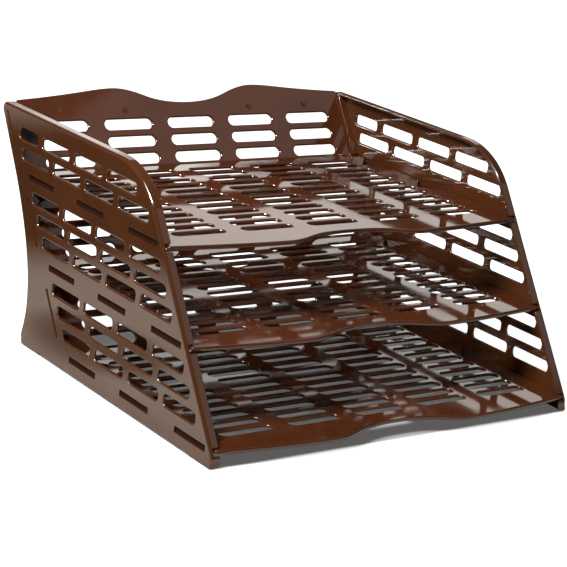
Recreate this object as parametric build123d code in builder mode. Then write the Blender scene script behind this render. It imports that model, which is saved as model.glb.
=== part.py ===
"""Letter tray stack: slotted trays held in steps between two slotted side panels.

Sizes are in millimetres. X runs across the stack, Y from the front to the back and Z up.
The origin is on the table, under the middle of the whole stack. While the pieces are drawn,
stations along Y are counted from the point where a panel's front edge line meets the table.
"""

import os
from math import atan, cos, degrees, radians, sin, tan

from build123d import *

os.makedirs("parts", exist_ok=True)

# ---- Stack -------------------------------------------------------------------------------
overall_width = 333.0  # across the outer faces of the two side panels
tray_count = 3
tier_pitch = 60.5  # from one floor up to the next
tier_setback = 40.7  # from one floor back to the next
first_floor_height = 13.1  # top of the lowest floor above the table
top_tier_height = 48.6  # panel's top edge above the highest floor

# ---- Fits --------------------------------------------------------------------------------
side_clearance = 0.3  # tray's side edges to the panel's inner face
tab_clearance = 0.3  # tab to its mortise, all round
tab_headroom = 1.0  # and as much more above a floor's tab
rib_clearance = 0.3  # tray wall to the rib in front of it
notch_clearance = 1.1  # floor to the flange notch it passes through, above and below
tab_recess = 1.4  # tab's end behind the panel's outer face

# ---- Side panel --------------------------------------------------------------------------
panel_wall = 2.5  # thickness of the plate
flange_width = 8.0  # depth of the rim, from the plate's outer face inwards
flange_wall = 2.5  # thickness of the rim
panel_edge_radius = 2.0  # rounding where the plate turns into the rim
shoulder_radius = 64.0  # front edge turning into the top edge
rear_corner_radius = 5.0  # top edge turning into the rear edge
panel_behind_wall = 9.4  # virtual rear corner behind the top tray's wall, at the top edge
rear_edge_angle = 31.5  # straight upper part of the rear edge, from the vertical
rear_straight_height = 45.4  # how far down the straight part reaches
rear_bend_height = 85.9  # a point on the bend between the straight part and the waist
rear_bend_back = 9.6  # how far that point is behind the waist
rear_bend_angle = 20.5  # the edge's slope there, from the vertical
waist_height = 38.0  # where the rear edge is furthest forward
waist_station = 275.0
heel_station = 283.4  # virtual corner of the rear foot
heel_angle = 18.4  # rear foot's slope, from the vertical
heel_height = 11.1  # straight part of the rear foot
heel_radius = 7.5
toe_setback = 6.05  # front of the front foot, behind the front edge's line
toe_radius = 2.6
toe_blend_radius = 16.3  # front of the foot turning into the front edge
relief_height = 1.6  # lower edge between the feet, above the table
relief_front_station = 33.5
relief_rear_station = 249.2

# ---- Panel slots -------------------------------------------------------------------------
panel_slot_length = 41.2
panel_slot_width = 8.7
panel_slot_corner = 3.0
panel_slot_least = 13.5  # a slot that would be shorter is left out
panel_slot_columns = 4
panel_slot_pitch = 48.2
panel_slot_front = 31.8  # centre of the front slot behind the front edge
panel_slot_rows = 3  # in each tier, as far as there is panel to cut
panel_slot_row_pitch = 15.0  # first row above the floor, and row to row
panel_slot_margin = 8.0  # least plate between a slot and the top edge
panel_slot_wall_gap = 9.5  # least plate between a slot's end and the middle of the tray wall
shoulder_row_height = 25.0  # a row nearer than this to the top edge follows the shoulder
shoulder_row_shift = 8.3  # and is this much further back
shoulder_row_wall_gap = 14.0  # and ends this far in front of the middle of the tray wall

# ---- Tray --------------------------------------------------------------------------------
tray_wall = 2.5  # thickness of floor and wall
floor_depth = 206.4  # from the panel's front edge line back to the wall
wall_angle = 33.2  # the wall's lean, from the vertical
lip_height = 3.4  # bead along the front edge
lip_depth = 2.8
lip_end_gap = 1.9  # bead's end to the flange
tongue_width = 4.0  # floor's corner that reaches into the flange's notch
tongue_depth = 6.0  # how far back that corner's narrower side runs
tongue_radius = 2.0
edge_side_reach = 1.9  # front edge in front of the panel's front line, at the sides
edge_lobe_reach = 11.0  # the same at the crests of the wave
edge_dip_reach = -3.3  # the same in the middle of the wave
edge_lobe_x = 62.0  # crest of the front wave from the middle
edge_fall = 1.3  # how much steeper the waves run at the sides than from crest to side
wall_side_rise = 59.4  # wall's top edge at the sides, along the wall
wall_crest_rise = 67.8  # the same at the crests
wall_dip_rise = 54.0  # the same in the middle
wall_crest_x = 68.0
wave_turn_x = 39.0  # steepest place of both waves
wave_steepness = 2.0  # slope there, as a multiple of the mean slope from dip to crest
wall_shoulder_rise = 53.5  # above this the wall is narrower, to stand between the rims
wall_shoulder_gap = 0.5  # wall's narrower part to the rim

# ---- Tray slots --------------------------------------------------------------------------
tray_slot_length = 44.6
tray_slot_width = 9.0
tray_slot_columns = 5
tray_slot_pitch = 60.15
floor_slot_rows = 12
tray_slot_row_pitch = 14.83
floor_slot_front = 24.3  # centre of the front row behind the panel's front edge line
wall_slot_rows = 3
wall_slot_first = 6.4  # centre of the lowest row above the floor, along the wall

# ---- Tabs --------------------------------------------------------------------------------
tab_length = 38.6
floor_tab_height = 3.4
floor_tab_count = 3
floor_tab_first = 25.6  # centre of the front tab behind the panel's front edge line
floor_tab_pitch = 74.4
wall_tab_height = 2.3
wall_tab_rise = 31.0  # centre of the wall's tab above the floor, along the wall
rib_wall = 2.6  # thickness of the rib in front of each tray wall
rib_height = 6.5  # how far it stands in from the plate
rib_floor_gap = 0.6  # rib's ends to the floors below and above it
tab_root = 0.5  # how far a tab reaches into the tray's side
side_notch_length = 34.6  # notch behind each tab in the floor's side edge
side_notch_depth = 1.5

# ---- Worked out from the above -----------------------------------------------------------
half_width = overall_width / 2
plate_inner = half_width - panel_wall
rim_inner = half_width - flange_width
tray_side = plate_inner - side_clearance
tab_end = half_width - tab_recess
mortise_length = tab_length + 2 * tab_clearance
floor_mortise_height = floor_tab_height + 2 * tab_clearance + tab_headroom
wall_mortise_height = wall_tab_height + 2 * tab_clearance
tongue_side = rim_inner + tongue_width
lip_side = rim_inner - lip_end_gap
wall_side = rim_inner - wall_shoulder_gap
lean = tier_setback / tier_pitch
lean_angle = degrees(atan(lean))
wall_slope = tan(radians(wall_angle))
top_floor_height = first_floor_height + (tray_count - 1) * tier_pitch
panel_height = top_floor_height + top_tier_height
notch_height = tray_wall + 2 * notch_clearance
notch_reach = 2 * flange_wall + notch_height  # past the leaning rim, forward and back
overlap = 1.0  # cutters run past, and joined bodies into, their neighbours by this much


def floor_height(tier):
    """Height of a tray's floor above the table."""
    return first_floor_height + tier * tier_pitch


def front_line(height):
    """Station of the panel's front edge line at a height."""
    return lean * height


def tier_front(tier):
    """Station of the front edge line at a tray's floor."""
    return front_line(floor_height(tier))


def wall_front(tier, height):
    """Station of a tray wall's front face at a height."""
    return tier_front(tier) + floor_depth + wall_slope * (height - floor_height(tier))


def wall_middle(tier, height):
    """Station of the middle of a tray wall at a height."""
    return wall_front(tier, height) + tray_wall / 2 / cos(radians(wall_angle))


def floor_tab_places(tier):
    """Station and height of the middle of each tab along a tray's floor."""
    first = tier_front(tier) + floor_tab_first
    height = floor_height(tier) - tray_wall / 2
    return [(first + tab * floor_tab_pitch, height) for tab in range(floor_tab_count)]


def wall_tab_place(tier):
    """Station and height of the middle of the tab along a tray's wall."""
    height = floor_height(tier) + wall_tab_rise * cos(radians(wall_angle))
    return wall_middle(tier, height), height


def tray_names():
    """Names of the trays from the lowest up."""
    middles = [f"middle_tray_{number}" for number in range(1, tray_count - 1)]
    if len(middles) == 1:
        middles = ["middle_tray"]
    return ["bottom_tray", *middles, "top_tray"]


rear_corner_station = wall_front(tray_count - 1, panel_height) + panel_behind_wall
front_most = tier_front(0) - edge_lobe_reach
wall_crest_back = wall_crest_rise * sin(radians(wall_angle)) + tray_wall * cos(radians(wall_angle))
rear_most = tier_front(tray_count - 1) + floor_depth + wall_crest_back
middle_station = (front_most + rear_most) / 2


def side_plane(x):
    """Plane square to X, on which a sketch's x is the station and its y the height."""
    return Plane(origin=(x, -middle_station, 0), x_dir=(0, 1, 0), z_dir=(1, 0, 0))


def floor_plane(tier):
    """Plane on a tray's floor, with its x across and its y back from the front edge line."""
    return Plane(origin=(0, tier_front(tier) - middle_station, floor_height(tier)))


def wall_plane(tier):
    """Plane on the front face of a tray's wall, with its y up the wall."""
    foot = tier_front(tier) + floor_depth - middle_station
    facing = (0, -cos(radians(wall_angle)), sin(radians(wall_angle)))
    return Plane(origin=(0, foot, floor_height(tier)), x_dir=(1, 0, 0), z_dir=facing)


# ---- Side panel --------------------------------------------------------------------------
def slope_down(angle):
    """Unit vector that runs down and forward at an angle from the vertical."""
    return Vector(-sin(radians(angle)), -cos(radians(angle)))


def panel_outline(inset, lowest):
    """Lines of the panel's outline, moved into the plate by inset and cut off at lowest."""
    front_shift = inset / cos(radians(lean_angle))
    rear_shift = inset / cos(radians(rear_edge_angle))
    top = panel_height - inset
    rear_slope = tan(radians(rear_edge_angle))
    rear_top = Vector(rear_corner_station - rear_shift - rear_slope * inset, top)
    straight_end = rear_top + slope_down(rear_edge_angle) * (
        (rear_straight_height - inset) / cos(radians(rear_edge_angle))
    )
    bend_inward = Vector(-cos(radians(rear_bend_angle)), sin(radians(rear_bend_angle)))
    bend = Vector(waist_station + rear_bend_back, rear_bend_height) + bend_inward * inset
    waist = Vector(waist_station - inset, waist_height)
    heel_slope = tan(radians(heel_angle))
    heel_shift = inset / cos(radians(heel_angle))
    heel = Vector(heel_station - heel_shift - heel_slope * lowest, lowest)
    heel_top = Vector(heel_station - heel_shift - heel_slope * heel_height, heel_height)
    toe = Vector(toe_setback + inset, lowest)
    toe_top = Vector(toe_setback + inset, (toe_setback + inset - front_shift) / lean)
    shoulder = Vector(front_line(top) + front_shift, top)
    Spline(
        [straight_end, bend, waist, heel_top],
        tangents=[slope_down(rear_edge_angle), slope_down(-heel_angle)],
    )
    toe_blend = toe_blend_radius - inset
    shoulder_bend = shoulder_radius - inset
    rear_corner = max(rear_corner_radius - inset, inset)
    FilletPolyline(
        [heel_top, heel, toe, toe_top, shoulder, rear_top, straight_end],
        radius=[0, 0, toe_blend, shoulder_bend, rear_corner],
    )


def offcut_sketch(corner, first_edge, second_edge, radius):
    """What a rounding of a radius takes off a corner whose edges leave it in two directions."""
    half_angle = radians(first_edge.get_angle(second_edge) / 2)
    reach = radius / tan(half_angle)
    centre = corner + (first_edge + second_edge).normalized() * (radius / sin(half_angle))
    with BuildSketch() as offcut:
        with BuildLine():
            Polyline(corner, corner + first_edge * reach, centre, corner + second_edge * reach, close=True)
        make_face()
        with Locations(centre):
            Circle(radius, mode=Mode.SUBTRACT)
    return offcut.sketch


def foot_offcuts():
    """What the roundings of the front and rear feet take off the outline's sharp corners."""
    toe = offcut_sketch(Vector(toe_setback, 0), Vector(0, 1), Vector(1, 0), toe_radius)
    heel = offcut_sketch(Vector(heel_station, 0), slope_down(-heel_angle) * -1, Vector(-1, 0), heel_radius)
    return [toe, heel]


def panel_slot_places():
    """Centre station, height and length of every slot in a panel."""
    places = []
    for tier in range(tray_count):
        for row in range(1, panel_slot_rows + 1):
            height = floor_height(tier) + row * panel_slot_row_pitch
            below_top = panel_height - height
            if below_top < panel_slot_width / 2 + panel_slot_margin:
                continue
            follows_shoulder = below_top < shoulder_row_height
            shift = shoulder_row_shift if follows_shoulder else 0
            wall_gap = shoulder_row_wall_gap if follows_shoulder else panel_slot_wall_gap
            start = front_line(height) + panel_slot_front - panel_slot_length / 2 + shift
            rear_limit = wall_middle(tier, height) - wall_gap
            for column in range(panel_slot_columns):
                front_end = start + column * panel_slot_pitch
                rear_end = min(front_end + panel_slot_length, rear_limit)
                length = rear_end - front_end
                if length > panel_slot_least:
                    places.append(((front_end + rear_end) / 2, height, length))
    return places


def rib_outline(tier):
    """Corners of the rib in front of a tray's wall, as stations and heights."""
    last = tier == tray_count - 1
    low = floor_height(tier) + rib_floor_gap
    ceiling = floor_height(tier + 1) - tray_wall - rib_floor_gap
    high = panel_height - flange_wall / 2 if last else ceiling
    across = 1 / cos(radians(wall_angle))
    near = rib_clearance * across
    far = (rib_clearance + rib_wall) * across
    return [
        (wall_front(tier, low) - near, low),
        (wall_front(tier, high) - near, high),
        (wall_front(tier, high) - far, high),
        (wall_front(tier, low) - far, low),
    ]


def make_panel(side):
    """Side panel: plate, rim, ribs, slots, mortises and the notches in its rim."""
    outer = side_plane(side * half_width)
    inner = side_plane(side * plate_inner)
    rim = side_plane(side * rim_inner)
    with BuildPart() as panel:
        with BuildSketch(outer):
            with BuildLine():
                panel_outline(0, 0)
            make_face()
        extrude(amount=-side * flange_width)
        outer_face = panel.faces().sort_by(Axis.X)[-1 if side > 0 else 0]
        rounded = outer_face.edges().filter_by(lambda edge: edge.center().Z > overlap)
        fillet(rounded, radius=panel_edge_radius)
        with BuildSketch(rim):
            with BuildLine():
                panel_outline(flange_wall, -overlap)
            make_face()
        extrude(amount=side * (flange_width - panel_wall), mode=Mode.SUBTRACT)
        with BuildSketch(inner):
            for tier in range(tray_count):
                with BuildLine():
                    Polyline(rib_outline(tier), close=True)
                make_face()
        extrude(amount=-side * rib_height)
        with BuildSketch(outer):
            add(foot_offcuts())
            for station, height, length in panel_slot_places():
                with Locations((station, height)):
                    RectangleRounded(length, panel_slot_width, panel_slot_corner)
            for tier in range(tray_count):
                for station, height in floor_tab_places(tier):
                    with Locations((station, height + tab_headroom / 2)):
                        Rectangle(mortise_length, floor_mortise_height)
                with Locations(wall_tab_place(tier)):
                    Rectangle(mortise_length, wall_mortise_height, rotation=90 - wall_angle)
            relief_length = relief_rear_station - relief_front_station
            with Locations((relief_front_station + relief_length / 2, 0)):
                Rectangle(relief_length, 2 * relief_height)
        extrude(amount=-side * flange_width, both=True, mode=Mode.SUBTRACT)
        notch_width = plate_inner - rim_inner
        for tier in range(tray_count):
            middle = Plane(
                origin=(
                    side * (rim_inner + notch_width / 2),
                    tier_front(tier) - middle_station,
                    floor_height(tier) - tray_wall / 2,
                ),
                x_dir=(1, 0, 0),
                z_dir=(0, -1, 0),
            )
            with BuildSketch(middle):
                Rectangle(notch_width, notch_height)
            extrude(amount=notch_reach, both=True, mode=Mode.SUBTRACT)
    return panel


# ---- Tray --------------------------------------------------------------------------------
def wave(side_x, side_y, crest_x, crest_y, dip_y):
    """Line that dips in the middle, turns to a crest each side and falls away to the sides."""
    turn = wave_steepness * (crest_y - dip_y) / crest_x
    fall = edge_fall * (side_y - crest_y) / (side_x - crest_x)
    turn_y = (crest_y + dip_y) / 2
    half = [(wave_turn_x, turn_y, turn), (crest_x, crest_y, 0), (side_x, side_y, fall)]
    points = [(-x, y) for x, y, _ in reversed(half)] + [(0, dip_y)] + [(x, y) for x, y, _ in half]
    slopes = [-slope for _, _, slope in reversed(half)] + [0] + [slope for _, _, slope in half]
    return Spline(points, tangents=[(1, slope) for slope in slopes])


def front_wave(setback):
    """Tray's front edge, or a copy of it moved back."""
    side_y = setback - edge_side_reach
    lobe_y = setback - edge_lobe_reach
    dip_y = setback - edge_dip_reach
    return wave(tongue_side, side_y, edge_lobe_x, lobe_y, dip_y)


def floor_sketch(tier):
    """Slotted floor, its front corners narrower where they pass the panels' rims."""
    slot_rows_middle = floor_slot_front + (floor_slot_rows - 1) * tray_slot_row_pitch / 2
    with BuildSketch(floor_plane(tier)) as floor:
        with BuildLine():
            front = front_wave(0)
            Polyline(
                front @ 1,
                (tongue_side, tongue_depth),
                (tray_side, tongue_depth),
                (tray_side, floor_depth),
                (-tray_side, floor_depth),
                (-tray_side, tongue_depth),
                (-tongue_side, tongue_depth),
                front @ 0,
            )
        make_face()
        front_corners = floor.vertices().sort_by(lambda corner: abs(corner.Y + edge_side_reach))[:2]
        fillet(front_corners, radius=tongue_radius)
        with Locations((0, slot_rows_middle)):
            with GridLocations(tray_slot_pitch, tray_slot_row_pitch, tray_slot_columns, floor_slot_rows):
                SlotOverall(tray_slot_length, tray_slot_width, mode=Mode.SUBTRACT)
        for tab in range(floor_tab_count):
            behind = floor_tab_first + (tab + 0.5) * floor_tab_pitch
            with Locations((tray_side, behind), (-tray_side, behind)):
                Rectangle(2 * side_notch_depth, side_notch_length, mode=Mode.SUBTRACT)
    return floor.sketch


def bead_sketch(tier):
    """Bead that deepens the front edge between the two rims."""
    with BuildSketch(floor_plane(tier)) as bead:
        with BuildLine():
            front = front_wave(0)
            back = front_wave(lip_depth)
            Line(front @ 0, back @ 0)
            Line(front @ 1, back @ 1)
        make_face()
        Rectangle(2 * lip_side, 2 * floor_depth, mode=Mode.INTERSECT)
    return bead.sketch


def wall_sketch(tier):
    """Slotted leaning wall, narrower at its top where it stands between the rims."""
    slot_rows_middle = wall_slot_first + (wall_slot_rows - 1) * tray_slot_row_pitch / 2
    with BuildSketch(wall_plane(tier)) as wall:
        with BuildLine():
            top = wave(wall_side, wall_side_rise, wall_crest_x, wall_crest_rise, wall_dip_rise)
            Polyline(
                top @ 1,
                (wall_side, wall_shoulder_rise),
                (tray_side, wall_shoulder_rise),
                (tray_side, 0),
                (-tray_side, 0),
                (-tray_side, wall_shoulder_rise),
                (-wall_side, wall_shoulder_rise),
                top @ 0,
            )
        make_face()
        with Locations((0, slot_rows_middle)):
            with GridLocations(tray_slot_pitch, tray_slot_row_pitch, tray_slot_columns, wall_slot_rows):
                SlotOverall(tray_slot_length, tray_slot_width, mode=Mode.SUBTRACT)
    return wall.sketch


def bend_sketch(tier):
    """Section of the rounded bend that joins the floor to its wall."""
    foot = Vector(tier_front(tier) + floor_depth, floor_height(tier))
    with BuildSketch(side_plane(-tray_side)) as bend:
        with BuildLine():
            outside = CenterArc(foot, tray_wall, -90, 90 - wall_angle)
            Polyline(outside @ 1, foot, outside @ 0)
        make_face()
    return bend.sketch


def tab_sketch(tier, side):
    """Ends of the tabs that stand in one panel's mortises."""
    with BuildSketch(side_plane(side * tab_end)) as tabs:
        with Locations(*floor_tab_places(tier)):
            Rectangle(tab_length, floor_tab_height)
        with Locations(wall_tab_place(tier)):
            Rectangle(tab_length, wall_tab_height, rotation=90 - wall_angle)
    return tabs.sketch


def make_tray(tier):
    """Tray: floor with its wavy front edge and bead, leaning wall, and tabs at both sides."""
    with BuildPart() as tray:
        extrude(floor_sketch(tier), amount=-tray_wall)
        extrude(bead_sketch(tier), amount=-lip_height)
        extrude(wall_sketch(tier), amount=-tray_wall)
        extrude(bend_sketch(tier), amount=2 * tray_side)
        for side in (1, -1):
            extrude(tab_sketch(tier, side), amount=side * (tray_side - tab_root - tab_end))
    return tray


# ---- The pieces --------------------------------------------------------------------------
pieces = {"left_side_panel": make_panel(-1), "right_side_panel": make_panel(1)}
for tier, name in enumerate(tray_names()):
    pieces[name] = make_tray(tier)

for name, piece in pieces.items():
    piece.part.label = name
    export_step(piece.part, f"parts/{name}.step")
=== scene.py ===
"""Looks of a letter tray stack: three slotted trays between two slotted side panels.

Shapes are worked out in millimetres and stations, the distances back from the point where the
panels' front edge line meets the table, and turned into the frame's metres when a mesh is made.
"""

from __future__ import annotations

import logging
import math
from dataclasses import dataclass, field
from enum import Enum
from typing import Callable

import bpy
import numpy as np
from mathutils import Matrix, Vector
from mathutils.geometry import delaunay_2d_cdt


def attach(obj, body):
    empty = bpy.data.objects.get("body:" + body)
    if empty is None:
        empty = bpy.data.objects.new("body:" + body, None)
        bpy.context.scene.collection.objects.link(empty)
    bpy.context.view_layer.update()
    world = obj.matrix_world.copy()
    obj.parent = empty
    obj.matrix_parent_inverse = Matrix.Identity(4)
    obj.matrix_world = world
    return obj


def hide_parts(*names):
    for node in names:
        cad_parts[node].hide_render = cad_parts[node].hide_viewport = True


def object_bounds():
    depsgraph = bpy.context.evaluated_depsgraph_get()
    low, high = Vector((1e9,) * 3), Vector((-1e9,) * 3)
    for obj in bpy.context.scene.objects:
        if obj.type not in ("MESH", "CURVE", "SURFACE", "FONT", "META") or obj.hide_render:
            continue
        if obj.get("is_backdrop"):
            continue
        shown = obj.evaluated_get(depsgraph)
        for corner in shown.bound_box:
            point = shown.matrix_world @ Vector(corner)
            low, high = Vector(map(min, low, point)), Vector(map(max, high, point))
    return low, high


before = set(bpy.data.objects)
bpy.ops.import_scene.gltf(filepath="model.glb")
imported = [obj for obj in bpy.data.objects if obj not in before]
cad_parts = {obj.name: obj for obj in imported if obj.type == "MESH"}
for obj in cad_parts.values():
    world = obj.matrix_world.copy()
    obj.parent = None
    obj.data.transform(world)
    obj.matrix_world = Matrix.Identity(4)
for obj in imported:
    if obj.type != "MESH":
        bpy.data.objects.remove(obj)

log = logging.getLogger("letter_tray_stack")

Array = np.ndarray
Colour = tuple[float, float, float]
Placement = Callable[[Array, Array, Array], Array]

MM = 0.001  # a millimetre in the frame's metres
ROOT = "root"  # the body that holds every piece


# ---- Measures shared by the pieces ---------------------------------------------------------
@dataclass(frozen=True)
class StackMeasures:
    """Sizes that the panels and the trays share, in millimetres.

    Attributes:
        overall_width: Across the panels' outer faces.
        tray_count: Number of trays.
        tier_pitch: From one floor up to the next.
        tier_setback: From one floor back to the next.
        first_floor_height: Top of the lowest floor above the table.
        top_tier_height: The panels' top edge above the highest floor.
        panel_wall: Thickness of a panel's plate and rim.
        flange_width: Depth of the rim from the plate's outer face.
        tray_wall: Thickness of a tray's floor and wall.
        floor_depth: From the panel's front edge line back to the wall, along a floor.
        wall_angle: The walls' lean from the vertical, in radians.
        middle_station: Station of the frame's origin.
    """

    overall_width: float = 333.0
    tray_count: int = 3
    tier_pitch: float = 60.5
    tier_setback: float = 40.7
    first_floor_height: float = 13.1
    top_tier_height: float = 48.6
    panel_wall: float = 2.5
    flange_width: float = 8.0
    tray_wall: float = 2.5
    floor_depth: float = 206.4
    wall_angle: float = math.radians(33.2)
    middle_station: float = 166.82

    @property
    def half_width(self) -> float:
        """Outer face of a panel from the middle."""
        return self.overall_width / 2

    @property
    def lean(self) -> float:
        """Setback for each millimetre of height."""
        return self.tier_setback / self.tier_pitch

    @property
    def panel_height(self) -> float:
        """Top edge of the panels above the table."""
        return self.first_floor_height + (self.tray_count - 1) * self.tier_pitch + self.top_tier_height

    def floor_height(self, tier: int) -> float:
        """Height of a tray's floor."""
        return self.first_floor_height + tier * self.tier_pitch

    def tier_front(self, tier: int) -> float:
        """Station of the front edge line at a tray's floor."""
        return self.lean * self.floor_height(tier)

    def wall_front(self, tier: int, height: float) -> float:
        """Station of a tray wall's front face at a height."""
        rise = height - self.floor_height(tier)
        return self.tier_front(tier) + self.floor_depth + math.tan(self.wall_angle) * rise

    def wall_middle(self, tier: int, height: float) -> float:
        """Station of the middle of a tray wall at a height."""
        return self.wall_front(tier, height) + self.tray_wall / 2 / math.cos(self.wall_angle)

    def to_frame(self, x: Array, station: Array, height: Array) -> Array:
        """Turn millimetres, with the depth as a station, into the frame's metres.

        Args:
            x: Distances across from the middle.
            station: Distances back from the front edge line's foot.
            height: Heights above the table.

        Returns:
            Points, with x, y and z in the last axis.
        """
        return np.stack(np.broadcast_arrays(x, station - self.middle_station, height), axis=-1) * MM


# ---- Paths in a plane ----------------------------------------------------------------------
def rounded_path(corners: list[tuple[float, float]], radii: list[float], arc_step: float = 0.2) -> Array:
    """Open path through corners, where each inner corner is an arc tangent to its two sides.

    An arc's tangent points lie radius / tan(half the corner's angle) from the corner, and its
    points are even steps of angle round its centre.

    Args:
        corners: Points of the path.
        radii: Radius at each inner corner; 0 keeps the corner.
        arc_step: Largest turn between two points of an arc, in radians.

    Returns:
        Points of the path, one row each.
    """
    points = np.array(corners, float)
    pieces = [points[:1]]
    for before, corner, after, radius in zip(points, points[1:], points[2:], radii):
        if radius <= 0:
            pieces.append(corner[None])
            continue
        back = (before - corner) / np.linalg.norm(before - corner)
        ahead = (after - corner) / np.linalg.norm(after - corner)
        half_angle = math.acos(float(np.clip(back @ ahead, -1, 1))) / 2
        centre = corner + (back + ahead) / np.linalg.norm(back + ahead) * radius / math.sin(half_angle)
        start = corner + back * radius / math.tan(half_angle) - centre
        turn = math.pi - 2 * half_angle
        turn *= 1 if back[0] * ahead[1] - back[1] * ahead[0] < 0 else -1
        count = max(2, math.ceil(abs(turn) / arc_step)) + 1
        angle = math.atan2(start[1], start[0]) + turn * np.linspace(0, 1, count)
        pieces.append(centre + radius * np.stack([np.cos(angle), np.sin(angle)], axis=1))
    pieces.append(points[-1:])
    return np.concatenate(pieces)


def thin_out(path: Array, least: float = 0.02) -> Array:
    """Drop each point of a closed path that lies no more than least from the one before it."""
    gaps = np.linalg.norm(path - np.roll(path, 1, axis=0), axis=1)
    return path[gaps > least]


def fill_in(path: Array, spacing: float, closed: bool = True) -> Array:
    """Divide each side longer than spacing into even steps.

    Args:
        path: Points of a path.
        spacing: Longest step.
        closed: Whether a side runs from the last point back to the first.

    Returns:
        The path with its added points.
    """
    following = np.roll(path, -1, axis=0) if closed else path[1:]
    starts = path if closed else path[:-1]
    lengths = np.linalg.norm(following - starts, axis=1)
    counts = np.maximum(1, np.ceil(lengths / spacing).astype(int))
    side = np.repeat(np.arange(len(starts)), counts)
    step = np.arange(counts.sum()) - np.repeat(np.cumsum(counts) - counts, counts)
    share = (step / counts[side])[:, None]
    filled = starts[side] * (1 - share) + following[side] * share
    return filled if closed else np.concatenate([filled, path[-1:]])


def hermite(x: Array, knots: list[tuple[float, float, float]]) -> Array:
    """Curve of cubic pieces through knots, each with its own slope.

    Args:
        x: Places to work the curve out at.
        knots: x, y and slope of each knot, in order of x.

    Returns:
        The curve's y at each place.
    """
    at, value, slope = np.array(knots).T
    k = np.clip(np.searchsorted(at, x, side="right") - 1, 0, len(at) - 2)
    width = at[k + 1] - at[k]
    t = (x - at[k]) / width
    rise = (2 * t**3 - 3 * t**2 + 1) * value[k] + (3 * t**2 - 2 * t**3) * value[k + 1]
    return rise + width * ((t**3 - 2 * t**2 + t) * slope[k] + (t**3 - t**2) * slope[k + 1])


def slot_loops(centres: Array, length: float | Array, width: float, corner: float, steps: int = 7) -> Array:
    """Outlines of slots along the plane's first axis.

    Each corner is a quarter circle, whose centre lies the corner's radius in from both sides.
    With a corner of half the width, an end is one half circle.

    Args:
        centres: Middles of the slots, one row each.
        length: Length over the ends, one for all or one for each.
        width: Width of every slot.
        corner: Radius of the corners.
        steps: Steps round each quarter circle.

    Returns:
        Loops, with slot, point and coordinate as the axes, clockwise.
    """
    quarter = np.linspace(0, math.pi / 2, steps + 1)
    angle = np.concatenate([start - quarter for start in np.arange(1, -3, -1) * math.pi / 2])
    ahead = np.repeat([1.0, 1.0, -1.0, -1.0], steps + 1)
    above = np.repeat([1.0, -1.0, -1.0, 1.0], steps + 1)
    keep = np.ones(len(angle), bool)
    if corner >= width / 2:
        keep[[steps + 1, 3 * (steps + 1)]] = False
    reach = (np.broadcast_to(length, len(centres)) / 2 - corner)[:, None]
    loops = np.empty((len(centres), len(angle), 2))
    loops[:, :, 0] = corner * np.cos(angle) + reach * ahead
    loops[:, :, 1] = corner * np.sin(angle) + (width / 2 - corner) * above
    return loops[:, keep] + centres[:, None]


def box_loop(length: float, width: float, radius: float) -> Array:
    """Rounded rectangle about the origin.

    Args:
        length: Size along the first axis.
        width: Size along the second.
        radius: Radius of its corners.

    Returns:
        The loop, clockwise.
    """
    x, y = length / 2, width / 2
    corners = [(0, y), (x, y), (x, -y), (-x, -y), (-x, y), (0, y)]
    return rounded_path(corners, [radius] * 4, arc_step=0.4)[:-1]


def turned(loop: Array, angle: float, centre: tuple[float, float]) -> Array:
    """A loop turned by an angle about the origin and moved to a centre."""
    cosine, sine = math.cos(angle), math.sin(angle)
    return loop @ np.array([[cosine, sine], [-sine, cosine]]) + np.array(centre)


# ---- Meshes --------------------------------------------------------------------------------
@dataclass
class MeshParts:
    """Vertices, their normals and faces gathered from several surfaces for one object.

    Attributes:
        points: Vertices of each surface.
        normals: A normal for each of them.
        triangles: Each surface's triangles, as numbers of the object's vertices.
        quads: Its faces of four corners.
        count: Vertices so far.
    """

    points: list[Array] = field(default_factory=list)
    normals: list[Array] = field(default_factory=list)
    triangles: list[Array] = field(default_factory=list)
    quads: list[Array] = field(default_factory=list)
    count: int = 0

    def add(self, points: Array, normals: Array, triangles: Array, quads: Array) -> None:
        """Add a surface.

        Args:
            points: Its vertices.
            normals: A normal for each of them.
            triangles: Its triangles, which count its own vertices from 0.
            quads: Its faces of four corners, which do too.
        """
        self.points.append(points)
        self.normals.append(normals)
        self.triangles.append(triangles + self.count)
        self.quads.append(quads + self.count)
        self.count += len(points)

    def make(self, name: str) -> bpy.types.Object:
        """Make the object, smooth, with the gathered normals.

        Args:
            name: Name of the object and its mesh.

        Returns:
            The object, linked to the scene, with its place in its mesh.
        """
        triangles = np.concatenate(self.triangles)
        quads = np.concatenate(self.quads)
        corners = np.concatenate([triangles.ravel(), quads.ravel()]).astype(np.int32)
        sizes = np.concatenate([np.full(len(triangles), 3), np.full(len(quads), 4)]).astype(np.int32)
        mesh = bpy.data.meshes.new(name)
        mesh.vertices.add(self.count)
        mesh.vertices.foreach_set("co", np.concatenate(self.points).astype(np.float32).ravel())
        mesh.loops.add(len(corners))
        mesh.loops.foreach_set("vertex_index", corners)
        mesh.polygons.add(len(sizes))
        mesh.polygons.foreach_set("loop_start", (np.cumsum(sizes) - sizes).astype(np.int32))
        mesh.polygons.foreach_set("loop_total", sizes)
        mesh.polygons.foreach_set("use_smooth", np.ones(len(sizes), bool))
        mesh.update(calc_edges=True)
        if mesh.validate():
            log.warning("%s had faces that did not hold", name)
        mesh.normals_split_custom_set_from_vertices(np.concatenate(self.normals))
        obj = bpy.data.objects.new(name, mesh)
        bpy.context.scene.collection.objects.link(obj)
        return obj


def unit(vectors: Array) -> Array:
    """Vectors brought to length 1."""
    return vectors / np.maximum(np.linalg.norm(vectors, axis=-1, keepdims=True), 1e-12)


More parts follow.
